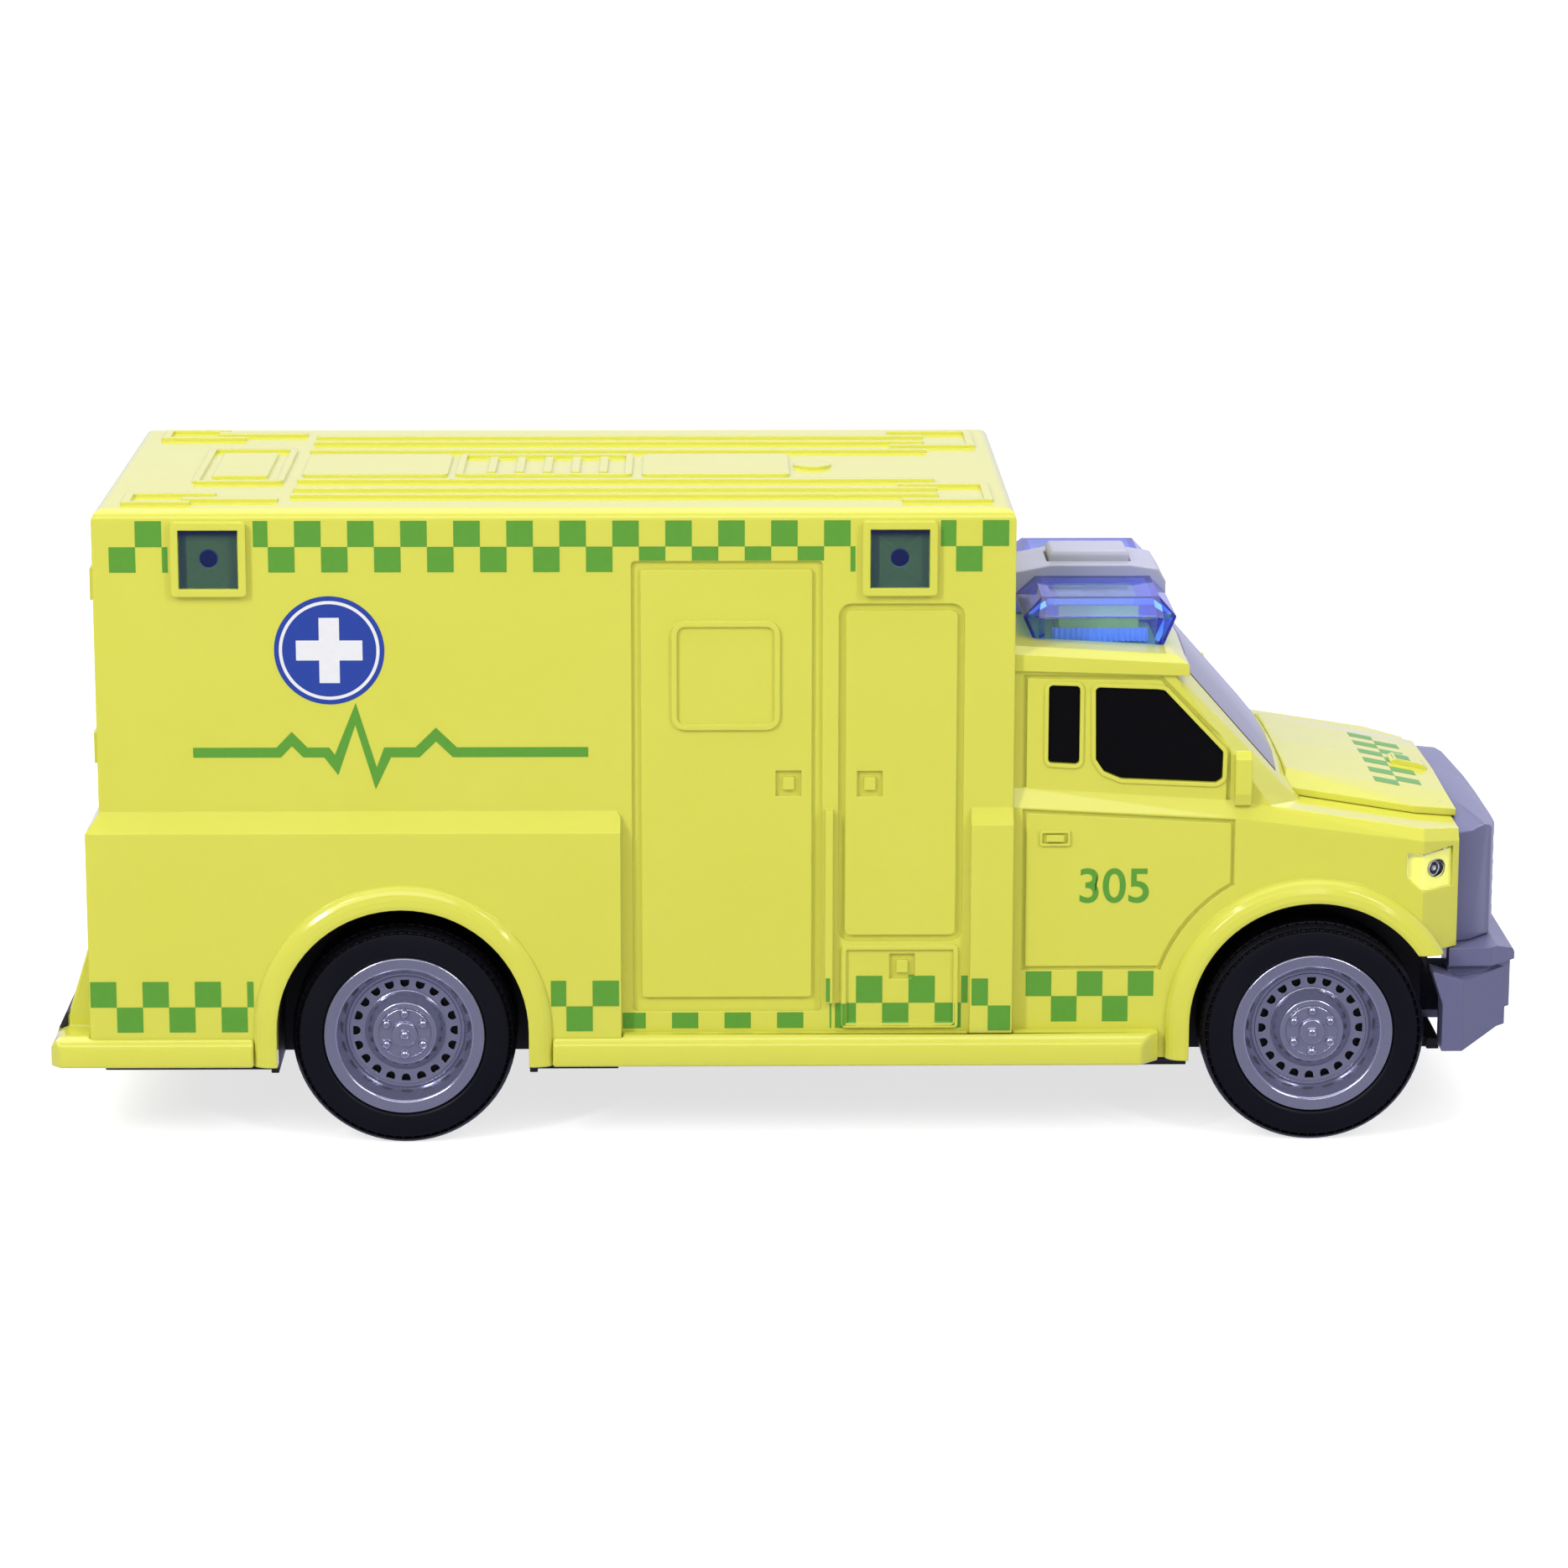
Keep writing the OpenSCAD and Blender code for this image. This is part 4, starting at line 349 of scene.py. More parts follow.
HOLE_DEPTH = 1.8
HOLE_CLEAR = 0.8
WELL_R = 12.4
WELL_H = -1.6
LIP_EDGE = 0.45
LIP_H = -0.15
RIM_WALL = 2
RIM_BACK = 0.5
BACK_H = -6.8
BEAD_H = -1.0
DASHES = 72
DASH_STEPS = 4
SHOULDER_DASH = 0.7
TREAD_DASH = 0.4
STUD_HEIGHT = 0.9


def lathe(profile, steps, notch=None):
    """A closed turned form around Z from radii and heights, with notches in some of its rings.

    A profile that comes back to its start is joined there, and any other one is capped at both ends.
    """
    mesh = bmesh.new()
    rings = []
    for index, (radius, height) in enumerate(profile):
        points = []
        for step in range(steps):
            inward, down = notch(index, step) if notch else (0, 0)
            angle = math.tau * step / steps
            reach = (radius - inward) * MM
            place = (reach * math.cos(angle), reach * math.sin(angle), (height - down) * MM)
            points.append(mesh.verts.new(place))
        rings.append(points)
    for inner, outer in zip(rings, rings[1:]):
        for step in range(steps):
            mesh.faces.new((inner[step - 1], inner[step], outer[step], outer[step - 1]))
    if profile[0] == profile[-1]:
        bmesh.ops.remove_doubles(mesh, verts=mesh.verts, dist=WELD_MM * MM)
    else:
        mesh.faces.new(rings[0])
        mesh.faces.new(rings[-1])
    bmesh.ops.recalc_face_normals(mesh, faces=mesh.faces)
    return mesh


def rounding(r, h, radius, start_deg, end_deg, count=5):
    """Points of a rounding in a profile, around (r, h)."""
    angles = [math.radians(start_deg + (end_deg - start_deg) * i / count) for i in range(count + 1)]
    return [(r + radius * math.cos(a), h + radius * math.sin(a)) for a in angles]


def stud(mesh, place, radius):
    """A round stud on a turned form."""
    spot = Matrix.Translation(Vector(place) * MM) @ Matrix.Diagonal((1, 1, STUD_HEIGHT, 1))
    made = bmesh.ops.create_uvsphere(mesh, u_segments=24, v_segments=12, radius=radius * MM, matrix=spot)
    for vert in made["verts"]:
        for face in vert.link_faces:
            face.smooth = True


def wheel_disc():
    """The turned wheel: centre boss, lug plate, conical hat, flange, deep well and a flat outer ring."""
    boss = [(AXLE_R / 2, BOSS_H), (BOSS_R, BOSS_H)]
    boss_edge = rounding(BOSS_R, BOSS_H - BOSS_EDGE, BOSS_EDGE, 90, 10, 3)
    plate = [(BOSS_R + 0.4, PLATE_H - 0.1), (PLATE_R, PLATE_H)]
    plate_rim = rounding(PLATE_R, PLATE_H - 0.05, 0.2, 90, 10, 3)
    hat = [(HAT_R - 0.6, HAT_H)] + rounding(HAT_R, HAT_H - HAT_EDGE, HAT_EDGE, 90, 25)
    hat.append((FLANGE_IN_R - 1.0, FLANGE_H + 0.1))
    hat_foot = rounding(FLANGE_IN_R - 0.5, FLANGE_H + 0.05, 0.35, 200, 280)
    flange = [(FLANGE_IN_R, FLANGE_H), (FLANGE_OUT_R, FLANGE_H)]
    groove = [(FLANGE_OUT_R + 0.15, FLANGE_H - 0.25), (FLANGE_OUT_R + 0.5, FLANGE_H - 0.2)]
    well = [(WELL_R - 0.9, WELL_H - 2.0), (WELL_R - 0.5, WELL_H - 1.0), (WELL_R, WELL_H)]
    well_edge = rounding(WELL_R + 1.1, WELL_H + 0.4, 0.8, 165, 95)
    lip = rounding(RIM_R - LIP_EDGE, LIP_H - LIP_EDGE, LIP_EDGE, 90, 0)
    inner_r = RIM_R - RIM_WALL
    foot_h = RIM_BACK - TYRE_W
    back = [(RIM_R, foot_h), (inner_r, foot_h), (inner_r, BACK_H), (AXLE_R, BACK_H)]
    profile = boss + boss_edge + plate + plate_rim + hat + hat_foot + flange + groove
    profile += well + well_edge + lip + back
    return lathe(profile, WHEEL_STEPS)


def hole_cutters():
    """Half-round bars, flat on their outer side, that cut the windows in the wheel's flange."""
    outline = [(HOLE_FLAT, HOLE_R), (HOLE_FLAT, -HOLE_R)] + rounding(0, 0, HOLE_R, 270, 90, 10)
    mesh = bmesh.new()
    for hole in range(HOLES):
        spin = Matrix.Rotation(math.tau * hole / HOLES, 4, "Z")
        ends = []
        for height in (FLANGE_H - HOLE_DEPTH, FLANGE_H + HOLE_CLEAR):
            corners = [Vector((HOLE_CIRCLE_R + a, b, height)) * MM for a, b in outline]
            ends.append([mesh.verts.new(spin @ corner) for corner in corners])
        mesh.faces.new(ends[0])
        mesh.faces.new(ends[1])
        for i in range(len(outline)):
            mesh.faces.new((ends[0][i - 1], ends[0][i], ends[1][i], ends[1][i - 1]))
    bmesh.ops.recalc_face_normals(mesh, faces=mesh.faces)
    return mesh


def bored_wheel():
    """The wheel with its windows cut and painted black inside as shade, its six lugs and its centre stud,
    around Z with its outer face up.
    """
    disc_piece = shown(loose("wheel_disc", wheel_disc(), silver_abs))
    # The cutters are black, and the windows' walls and floors take that black: painted shade in the blind
    # pockets.
    shade_cutters = shown(loose("wheel_cutters", hole_cutters(), black_pp))
    bore = disc_piece.modifiers.new("windows", "BOOLEAN")
    bore.operation = "DIFFERENCE"
    bore.solver = "EXACT"
    bore.material_mode = "TRANSFER"
    bore.object = shade_cutters
    bpy.context.view_layer.update()
    cut = disc_piece.evaluated_get(bpy.context.evaluated_depsgraph_get())
    data = bpy.data.meshes.new_from_object(cut)
    for piece in (disc_piece, shade_cutters):
        used = piece.data
        bpy.data.objects.remove(piece)
        bpy.data.meshes.remove(used)
    mesh = bmesh.new()
    mesh.from_mesh(data)
    stud(mesh, (0, 0, CENTRE_STUD_H), CENTRE_STUD_R)
    for lug in range(LUGS):
        angle = math.tau * lug / LUGS + math.pi / 2
        stud(mesh, (LUG_CIRCLE_R * math.cos(angle), LUG_CIRCLE_R * math.sin(angle), LUG_H), LUG_R)
    mesh.to_mesh(data)
    mesh.free()
    return data


def dashed_tyre():
    """A smooth-walled tyre with a row of short dashes on its shoulder and on its tread's edge."""
    bead = [(RIM_R, BEAD_H)] + rounding(RIM_R + 0.8, BEAD_H + 0.2, 0.7, 175, 95, 4)
    wall = [(RIM_R + 2.2, -0.06), (RIM_R + 3.2, -0.05), (TYRE_R - 1.75, -0.2), (TYRE_R - 1.45, -0.3)]
    shoulder = [(TYRE_R - 1.42, -0.32), (TYRE_R - 0.82, -0.62), (TYRE_R - 0.79, -0.64), (TYRE_R - 0.3, -1.15),
                (TYRE_R - 0.06, -1.75)]
    tread = [(TYRE_R - 0.02, -1.8), (TYRE_R, -3.2), (TYRE_R, -3.3), (TYRE_R, 1.6 - TYRE_W)]
    back = [(TYRE_R - 0.5, 0.7 - TYRE_W), (TYRE_R - 1.6, -TYRE_W), (RIM_R, -TYRE_W), (RIM_R, BEAD_H)]
    shoulder_start = len(bead) + len(wall)
    tread_start = shoulder_start + len(shoulder)

    def dash(index, step):
        """How far a point of a ring lies inward and down, in a dash or between two."""
        in_dash = step % DASH_STEPS < DASH_STEPS - 1
        if in_dash and index in (shoulder_start, shoulder_start + 1):
            return 0, SHOULDER_DASH
        if in_dash and index in (tread_start, tread_start + 1):
            return TREAD_DASH, 0
        return 0, 0

    mesh = lathe(bead + wall + shoulder + tread + back, DASHES * DASH_STEPS, dash)
    return loose("tyre", mesh, black_pvc).data


def wheel_end(node, data, smooth_deg, end, word):
    """A copy of a turned piece on its axle's end, in place of its CAD part."""
    side = SIDES[word]
    low, high = (Vector(corner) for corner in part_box("tyre_" + end + "_" + word))
    middle = (low + high) / 2
    face = low.y if side < 0 else high.y
    own = data.copy()
    outward = Matrix.Rotation(math.radians(-90 * side), 4, "X")
    own.transform(Matrix.Translation((middle.x, face, middle.z)) @ outward)
    own.shade_smooth()
    own.set_sharp_from_angle(angle=math.radians(smooth_deg))
    piece = shown(bpy.data.objects.new(node + "_skin_" + end + "_" + word, own))
    flat_first(piece, True)
    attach(piece, end + "_wheelset")
    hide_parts(node + "_" + end + "_" + word)


wheel_data = bored_wheel()
tyre_data = dashed_tyre()
for end in ("front", "rear"):
    for word in SIDES:
        wheel_end("tyre", tyre_data, smooth_deg=40, end=end, word=word)
        wheel_end("wheel", wheel_data, smooth_deg=38, end=end, word=word)


# Ribs inside the light bar's lenses, in mm

RIBS = 17
RIB_BACK_END = 5.6
RIB_FRONT_END = 5.2
RIB_FOOT = 0.5
RIB_TOP = 3.0
RIB_CREST = 3.2
RIB_VALLEY = 4.0
RIB_LEAN = 0.4
RIB_WALL = 0.5


def lens_ribs(word, side):
    """A row of upright ribs behind the lower part of a lens."""
    low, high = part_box("bar_lens_" + word)
    x0 = low[0] + RIB_BACK_END * MM
    x1 = high[0] - RIB_FRONT_END * MM
    outer = high[1] if side > 0 else low[1]
    levels = ((low[2] + RIB_FOOT * MM, 0), (low[2] + RIB_TOP * MM, RIB_LEAN * MM))
    mesh = bmesh.new()
    columns = []
    for i in range(2 * RIBS + 1):
        x = x0 + (x1 - x0) * i / (2 * RIBS)
        inset = (RIB_CREST if i % 2 else RIB_VALLEY) * MM
        columns.append([mesh.verts.new((x, outer - side * (inset + lean), z)) for z, lean in levels])
    for a, b in zip(columns, columns[1:]):
        mesh.faces.new((a[0], b[0], b[1], a[1]))
    mesh.normal_update()
    bmesh.ops.solidify(mesh, geom=mesh.faces[:], thickness=-side * RIB_WALL * MM)
    bmesh.ops.recalc_face_normals(mesh, faces=mesh.faces)
    piece = shown(loose("lens_ribs_" + word, mesh, frosted_styrene))
    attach(piece, "body")


for word, side in SIDES.items():
    lens_ribs(word, side)


# A reflector ring with its bulb inside each headlamp's slanted pane, in mm

PANE_FORWARD = 4.43
PANE_OUTWARD = 6.1
RING_FROM_FRONT = 3.5
RING_FROM_SIDE = 1.9
RING_RAISED = 0.2
RING_UNDER_PANE = 0.75
RING_PROFILE = [(1.15, 0), (1.2, 0.22), (1.35, 0.34), (1.5, 0.22), (1.55, 0), (1.15, 0)]
RING_STEPS = 48
BULB_R = 0.62


def headlamp_ring(word, side):
    """A rolled ring around a bulb, set just under the clear pane."""
    low, high = (Vector(corner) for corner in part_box("headlamp_" + word))
    pane = Vector((PANE_FORWARD, side * PANE_OUTWARD, 0)).normalized()
    face = high.y if side > 0 else low.y
    on_pane = Vector((high.x - RING_FROM_FRONT * MM, face - side * RING_FROM_SIDE * MM,
                      (low.z + high.z) / 2 + RING_RAISED * MM))
    middle = on_pane - pane * RING_UNDER_PANE * MM
    mesh = lathe(RING_PROFILE, RING_STEPS)
    stud(mesh, (0, 0, 0), BULB_R)
    mesh.transform(Matrix.Translation(middle) @ pane.to_track_quat("Z", "Y").to_matrix().to_4x4())
    piece = shown(loose("headlamp_ring_" + word, mesh, silver_abs))
    piece.data.shade_smooth()
    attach(piece, "body")


for word, side in SIDES.items():
    headlamp_ring(word, side)


# The rubber dome under the button

def soft_dome():
    """A copy of the silicone dome on the body, with its own mesh, in place of its CAD part."""
    piece = shown(bpy.data.objects.new("dome_skin", nodes["dome"].data.copy()))
    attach(piece, "body")
    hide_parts("dome")
    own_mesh(piece)


soft_dome()


# Printed films, laid on the shells

INK_MM = 0.035
INK_WELD_MM = 0.003
INK_FLAT_DEG = 1
CELL_MM = 0.7
STEP_MM = 1.3
BESIDE_TOY = 0.08
ABOVE_BONNET = 0.1

bpy.context.view_layer.update()
depsgraph = bpy.context.evaluated_depsgraph_get()
printed_shells = [BVHTree.FromObject(nodes[name], depsgraph) for name in ("box_shell", "cab_shell", "bonnet")]


def landed(start, way, film_mm):
    """The first place on the printed shells from a point, looking one way, raised by the film's thickness."""
    hits = [tree.ray_cast(start, way) for tree in printed_shells]
    place, _, _, _ = min((hit for hit in hits if hit[0]), key=lambda hit: hit[3])
    return place - way * film_mm * MM


def on_side(side, film_mm=INK_MM):
    """Lays a length and a height in mm on the right side (-1) or the left side (1)."""
    way = Vector((0, -side, 0))
    return lambda x, z: landed(Vector((x * MM, side * BESIDE_TOY, z * MM)), way, film_mm)


def on_bonnet(x, y):
    """Lays a length and a width in mm on the bonnet."""
    return landed(Vector((x * MM, y * MM, ABOVE_BONNET)), Vector((0, 0, -1)), INK_MM)


def film(name, ink, faces, flipped):
    """One printed film from faces of placed points, with its flat stretches joined."""
    mesh = bmesh.new()
    for points in faces:
        corners = [mesh.verts.new(point) for point in (reversed(points) if flipped else points)]
        mesh.faces.new(corners)
    bmesh.ops.remove_doubles(mesh, verts=mesh.verts, dist=INK_WELD_MM * MM)
    bmesh.ops.dissolve_limit(mesh, angle_limit=math.radians(INK_FLAT_DEG), verts=mesh.verts, edges=mesh.edges)
    piece = shown(loose(name, mesh, ink))
    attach(piece, "body")


def draped(patches, place):
    """Fine cells over rectangles (u0, u1, v0, v1), left out where they would bridge a step."""
    faces = []
    for u0, u1, v0, v1 in patches:
        columns = max(2, math.ceil((u1 - u0) / CELL_MM))
        rows = max(2, math.ceil((v1 - v0) / CELL_MM))
        grid = [[place(u0 + (u1 - u0) * i / columns, v0 + (v1 - v0) * j / rows) for j in range(rows + 1)]
                for i in range(columns + 1)]
        for i in range(columns):
            for j in range(rows):
                cell = [grid[i][j], grid[i + 1][j], grid[i + 1][j + 1], grid[i][j + 1]]
                spread = max((a - b).length for a in cell for b in cell)
                if spread < STEP_MM * MM:
                    faces.append(cell)
    return faces


# Checker bands, as lengths and heights in mm

SLIVER = 0.3
FAR = 999
ROOF_BAND = (110.8, 115.6, 120.5)
SKIRT_BAND = (23.0, 27.9, 32.9)
SILL_BAND = (22.7, 27.6, 27.6)
LOCKER_BAND = (22.7, 27.6, 32.9)
CAB_BAND = (23.5, 28.5, 33.4)
BEZEL_GAPS = ((-115.9, -100.0), (12.0, 27.9))
ARCH_BACK = -101.4
ARCH_FRONT = -45.3
LOCKER_GAPS = ((-FAR, 6.7), (7.8, 8.5), (41.7, FAR))
DOOR_SPAN = (-31.2, 6.4)
DOOR_TOP = 112.9
SILL_TOP = 25.8
SIDE_PITCH = 4.99
BONNET_COLUMNS = (113.8, 118.6, 123.4)
BONNET_ROWS = 11
BONNET_PITCH = 4.08


def outside(x0, x1, gaps):
    """The stretches of x0 to x1 that no gap covers."""
    spans = [(x0, x1)]
    for gap0, gap1 in gaps:
        cut = [span for a, b in spans for span in ((a, min(b, gap0)), (max(a, gap1), b))]
        spans = [(a, b) for a, b in cut if b - a > SLIVER]
    return spans


def checker(heights, start, pitch, columns, upper_first, gaps=()):
    """A two-row checker band: the squares' rectangles, column by column."""
    low, middle, high = heights
    patches = []
    for column in range(columns):
        upper = (column % 2 == 0) == upper_first
        for a, b in outside(start + column * pitch, start + (column + 1) * pitch, gaps):
            patches.append((a, b, middle, high) if upper else (a, b, low, middle))
    return patches


def roof_band():
    """The band under the roof's edge, cut off at the top of the door."""
    squares = []
    for a, b, low, high in checker(ROOF_BAND, start=-126.8, pitch=4.924, columns=34, upper_first=False,
                                   gaps=BEZEL_GAPS):
        over_door = DOOR_SPAN[0] < (a + b) / 2 < DOOR_SPAN[1]
        squares.append((a, b, max(low, DOOR_TOP) if over_door else low, high))
    return squares


def side_band():
    """All the squares on one side."""
    rear = checker(SKIRT_BAND, start=-132.2, pitch=4.93, columns=7, upper_first=True,
                   gaps=((ARCH_BACK, FAR),))
    middle = checker(SKIRT_BAND, start=-47.4, pitch=SIDE_PITCH, columns=3, upper_first=True,
                     gaps=((-FAR, ARCH_FRONT),))
    under_door = checker(SILL_BAND, start=-32.43, pitch=SIDE_PITCH, columns=7, upper_first=False)
    sill = [(a, b, low, SILL_TOP) for a, b, low, high in under_door if low < SILL_TOP]
    locker = checker(LOCKER_BAND, start=2.5, pitch=SIDE_PITCH, columns=8, upper_first=True, gaps=LOCKER_GAPS)
    cab = checker(CAB_BAND, start=44.8, pitch=4.86, columns=5, upper_first=True)
    return roof_band() + rear + middle + sill + locker + cab


def bonnet_band():
    """Two columns of squares across the bonnet, in lengths and widths."""
    squares = []
    for row in range(BONNET_ROWS):
        column = row % 2
        y1 = BONNET_PITCH * (BONNET_ROWS / 2 - row)
        squares.append((BONNET_COLUMNS[column], BONNET_COLUMNS[column + 1], y1 - BONNET_PITCH, y1))
    return squares


for word, side in SIDES.items():
    film("band_" + word, green_ink, draped(side_band(), on_side(side)), side > 0)
film("band_bonnet", green_ink, draped(bonnet_band(), on_bonnet), False)


# A plain roundel, a pulse line and a number on each side, in mm

ROUNDEL = (-86.2, 96.0)
ROUNDEL_R = 10.3
ROUNDEL_RING_R = (ROUNDEL_R - 1.5, ROUNDEL_R - 0.9)
PLUS_ARM = 6.2
PLUS_HALF = 1.9
PULSE_PLACE = (-112, 76.5)
PULSE_WIDTH = 1.9
PULSE = ((0, 0), (16, 0), (18.5, 2.6), (21, 0), (25, 0), (26.8, -2.4), (30.5, 7.4), (34.2, -5), (36.4, 0),
         (42, 0), (45.5, 3.4), (49, 0), (74, 0))
MITRE_LIMIT = 0.45
NUMBER = "305"
NUMBER_PLACE = (54.8, 46.7)
NUMBER_HEIGHT = 6.8
NUMBER_BOLD = 0.012


def disc(cx, cz, radius, count=72):
    """A circle's points."""
    return [(cx + radius * math.cos(math.tau * i / count), cz + radius * math.sin(math.tau * i / count))
            for i in range(count)]


def ring(cx, cz, inner, outer):
    """A ring's quads."""
    a = disc(cx, cz, inner)
    b = disc(cx, cz, outer)
    return [[a[i - 1], b[i - 1], b[i], a[i]] for i in range(len(a))]


def plus_sign():
    """The outline of a plus sign on the roundel, a quarter turn at a time."""
    quarter = [(PLUS_HALF, PLUS_HALF), (PLUS_ARM, PLUS_HALF), (PLUS_ARM, -PLUS_HALF)]
    outline = []
    for _ in range(4):
        outline += quarter
        quarter = [(b, -a) for a, b in quarter]
    return [(ROUNDEL[0] + a, ROUNDEL[1] + b) for a, b in outline]


def stroke(points, width):
    """Quads along a line of points, mitred at its corners."""
    left, right = [], []
    for i, point in enumerate(points):
        here = Vector(point)
        before = (here - Vector(points[max(i - 1, 0)])).normalized()
        after = (Vector(points[min(i + 1, len(points) - 1)]) - here).normalized()
        way = (before + after).normalized()
        across = Vector((-way.y, way.x))
        next_across = Vector((-after.y, after.x)) if after.length else across
        reach = width / 2 / max(MITRE_LIMIT, across.dot(next_across))
        left.append(here + across * reach)
        right.append(here - across * reach)
    return [[right[i], right[i + 1], left[i + 1], left[i]] for i in range(len(points) - 1)]


def numerals():
    """The number's faces, flat, with its lower left corner at the origin."""
    curve = bpy.data.curves.new("numerals", "FONT")
    curve.body = NUMBER
    curve.offset = NUMBER_BOLD
    holder = bpy.data.objects.new("numerals", curve)
    mesh = bpy.data.meshes.new_from_object(holder)
    low = [min(v.co[axis] for v in mesh.vertices) for axis in (0, 1)]
    scale = NUMBER_HEIGHT / (max(v.co.y for v in mesh.vertices) - low[1])
    corners = [((v.co.x - low[0]) * scale, (v.co.y - low[1]) * scale) for v in mesh.vertices]
    faces = [[corners[i] for i in face.vertices] for face in mesh.polygons]
    bpy.data.objects.remove(holder)
    bpy.data.curves.remove(curve)
    bpy.data.meshes.remove(mesh)
    return faces


def placed(polygons, place):
    """The polygons' points, laid on the toy."""
    return [[place(*point) for point in polygon] for polygon in polygons]


roundel_white = ring(*ROUNDEL, *ROUNDEL_RING_R) + [plus_sign()[::-1]]
pulse_line = stroke([(PULSE_PLACE[0] + x, PULSE_PLACE[1] + z) for x, z in PULSE], PULSE_WIDTH)
digits = numerals()
digits_wide = max(x for face in digits for x, z in face)

for word, side in SIDES.items():
    wall = on_side(side)
    over_ink = on_side(side, 2 * INK_MM)
    film("roundel_" + word, blue_ink, placed([disc(*ROUNDEL, ROUNDEL_R)], wall), side > 0)
    film("roundel_plus_" + word, white_ink, placed(roundel_white, over_ink), side > 0)
    film("pulse_line_" + word, green_ink, placed(pulse_line, wall), side > 0)
    start = NUMBER_PLACE[0] + (digits_wide if side > 0 else 0)
    turned = [[(start - side * x, NUMBER_PLACE[1] + z) for x, z in face] for face in digits]
    film("number_" + word, green_ink, placed(turned, wall), False)


# Camera, fitted to the photograph

CAMERA_PLACE_MM = (-17.6, -995.7, 284.1)
CAMERA_PITCH_DEG = 12.73
CAMERA_YAW_DEG = 0.99
CAMERA_ROLL_DEG = 0.09
CAMERA_LENS_MM = 118.48
CAMERA_SENSOR_MM = 36
CAMERA_REACH = 20

camera = shown(bpy.data.objects.new("camera", bpy.data.cameras.new("camera")))
camera.data.sensor_width = CAMERA_SENSOR_MM
camera.data.lens = CAMERA_LENS_MM
camera.data.clip_end = CAMERA_REACH
turn = (Matrix.Rotation(math.radians(-CAMERA_YAW_DEG), 4, "Z")
        @ Matrix.Rotation(math.radians(90 - CAMERA_PITCH_DEG), 4, "X")
        @ Matrix.Rotation(math.radians(CAMERA_ROLL_DEG), 4, "Z"))
camera.matrix_world = Matrix.Translation(Vector(CAMERA_PLACE_MM) * MM) @ turn
bpy.context.scene.camera = camera


# Studio, in metres

STRIP = (0.1, 0.7)
ROOM_FILL = 0.3
FLOOR_REACH = 3.0
FLOOR_BACK = 1.2
FLOOR_DROP = 0.02 * MM


def softbox(name, place, aim_height, size, watts):
    """A soft rectangular lamp at a place, turned to a height in the toy's middle."""
    lamp = bpy.data.lights.new(name, "AREA")
    lamp.shape = "RECTANGLE"
    lamp.size, lamp.size_y = size
    lamp.energy = watts
    holder = shown(bpy.data.objects.new(name, lamp))
    holder.location = place
    aim = Vector((0, 0, aim_height)) - Vector(place)
    holder.rotation_euler = aim.to_track_quat("-Z", "Y").to_euler()


def lamps():
    """Strips that draw highlights along the edges, and wide lamps in front and above, at a plain level."""
    softbox("left_strip", place=(-0.8, -1.0, 0.85), aim_height=0.06, size=STRIP, watts=8.2)
    softbox("right_strip", place=(0.75, -1.0, 0.85), aim_height=0.06, size=STRIP, watts=5.0)
    softbox("front_softbox", place=(-0.2, -1.25, 0.95), aim_height=0.07, size=(1.2, 0.35), watts=3.4)
    softbox("top_softbox", place=(0, 0.15, 1.25), aim_height=0.05, size=(1.5, 1.05), watts=11.8)
    for word, x in (("left", -0.9), ("right", 0.9)):
        softbox("back_" + word + "_strip", place=(x, 1.1, 1.0), aim_height=0.06, size=STRIP, watts=3.2)


def camera_sees(tree, path):
    """1 for rays from the camera and for those that go on through clear plastic, and 0 for others."""
    return add(tree, "ShaderNodeMath", {0: path["Is Camera Ray"], 1: path["Is Transmission Ray"]},
               operation="MAXIMUM").outputs[0]


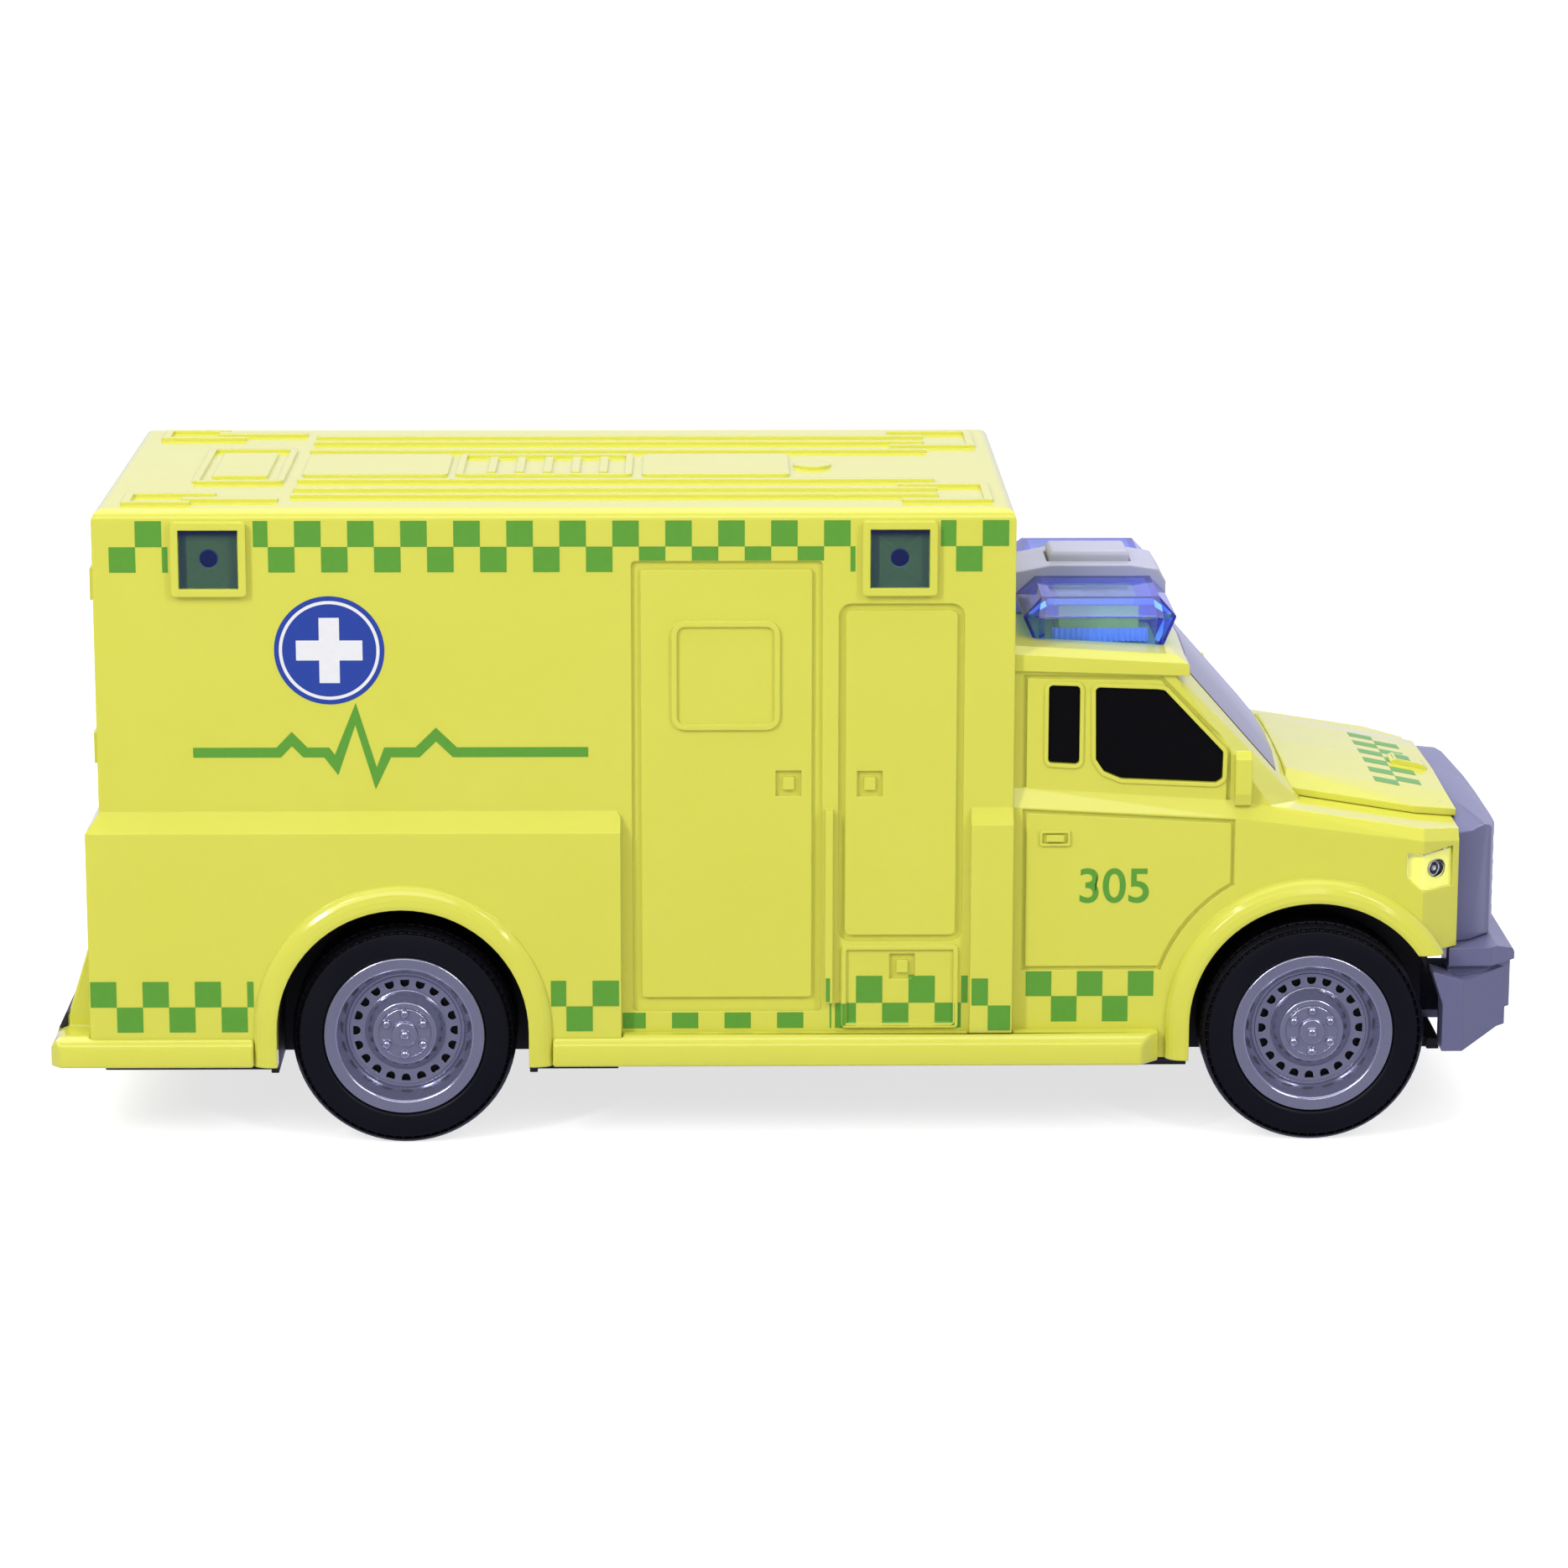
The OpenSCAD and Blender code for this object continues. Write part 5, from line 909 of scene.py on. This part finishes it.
def white_room():
    """A room that is white to the camera, and to mirrored rays bluish white behind and darker in front."""
    world = bpy.data.worlds.new("white_room")
    bpy.context.scene.world = world
    world.use_nodes = True
    tree = world.node_tree
    tree.nodes.clear()
    path = add(tree, "ShaderNodeLightPath").outputs
    place = add(tree, "ShaderNodeTexCoord").outputs["Generated"]
    toward_back = add(tree, "ShaderNodeSeparateXYZ", {"Vector": place}).outputs["Y"]
    mirrored = add(tree, "ShaderNodeMapRange", {
        "Value": toward_back, "From Min": -0.7, "From Max": 0.3, "To Min": 0.38, "To Max": 1.0})
    lit = add(tree, "ShaderNodeMix", {
        0: path["Is Glossy Ray"], MIX_NUMBER_A: ROOM_FILL, MIX_NUMBER_B: mirrored.outputs["Result"]})
    strength = add(tree, "ShaderNodeMix", {
        0: camera_sees(tree, path), MIX_NUMBER_A: lit.outputs[0], MIX_NUMBER_B: 1.0})
    tint = add(tree, "ShaderNodeMix", {0: path["Is Glossy Ray"], MIX_A: WHITE, MIX_B: linear("#dedeff")},
               data_type="RGBA")
    light = add(tree, "ShaderNodeBackground", {
        "Color": tint.outputs[MIX_RESULT], "Strength": strength.outputs[0]})
    add(tree, "ShaderNodeOutputWorld", {"Surface": light.outputs["Background"]})


def uncoated_paper():
    """Uncoated white paper: a matt floor, lifted to white where the camera sees it, with the toy's shadow."""
    material, tree = blank("uncoated_white_paper")
    path = add(tree, "ShaderNodeLightPath").outputs
    lift = add(tree, "ShaderNodeMapRange", {"Value": camera_sees(tree, path), "To Min": 0.0, "To Max": 0.72})
    paper = add(tree, "ShaderNodeBsdfDiffuse", {"Color": linear("#cbcbcb")})
    glow = add(tree, "ShaderNodeEmission", {"Color": WHITE, "Strength": lift.outputs["Result"]})
    both = add(tree, "ShaderNodeAddShader", {0: paper.outputs["BSDF"], 1: glow.outputs["Emission"]})
    add(tree, "ShaderNodeOutputMaterial", {"Surface": both.outputs["Shader"]})
    return material


def paper_floor():
    """The floor just under the toy. Mirrored rays pass through it and see the room."""
    mesh = bpy.data.meshes.new("floor")
    mesh.from_pydata([(-FLOOR_REACH, -FLOOR_REACH, 0), (FLOOR_REACH, -FLOOR_REACH, 0),
                      (FLOOR_REACH, FLOOR_BACK, 0), (-FLOOR_REACH, FLOOR_BACK, 0)], [], [(0, 1, 2, 3)])
    mesh.materials.append(uncoated_paper())
    floor = shown(bpy.data.objects.new("floor", mesh))
    floor.location.z = -FLOOR_DROP
    floor.visible_glossy = False


lamps()
white_room()
paper_floor()
bpy.context.scene.view_settings.view_transform = "Standard"
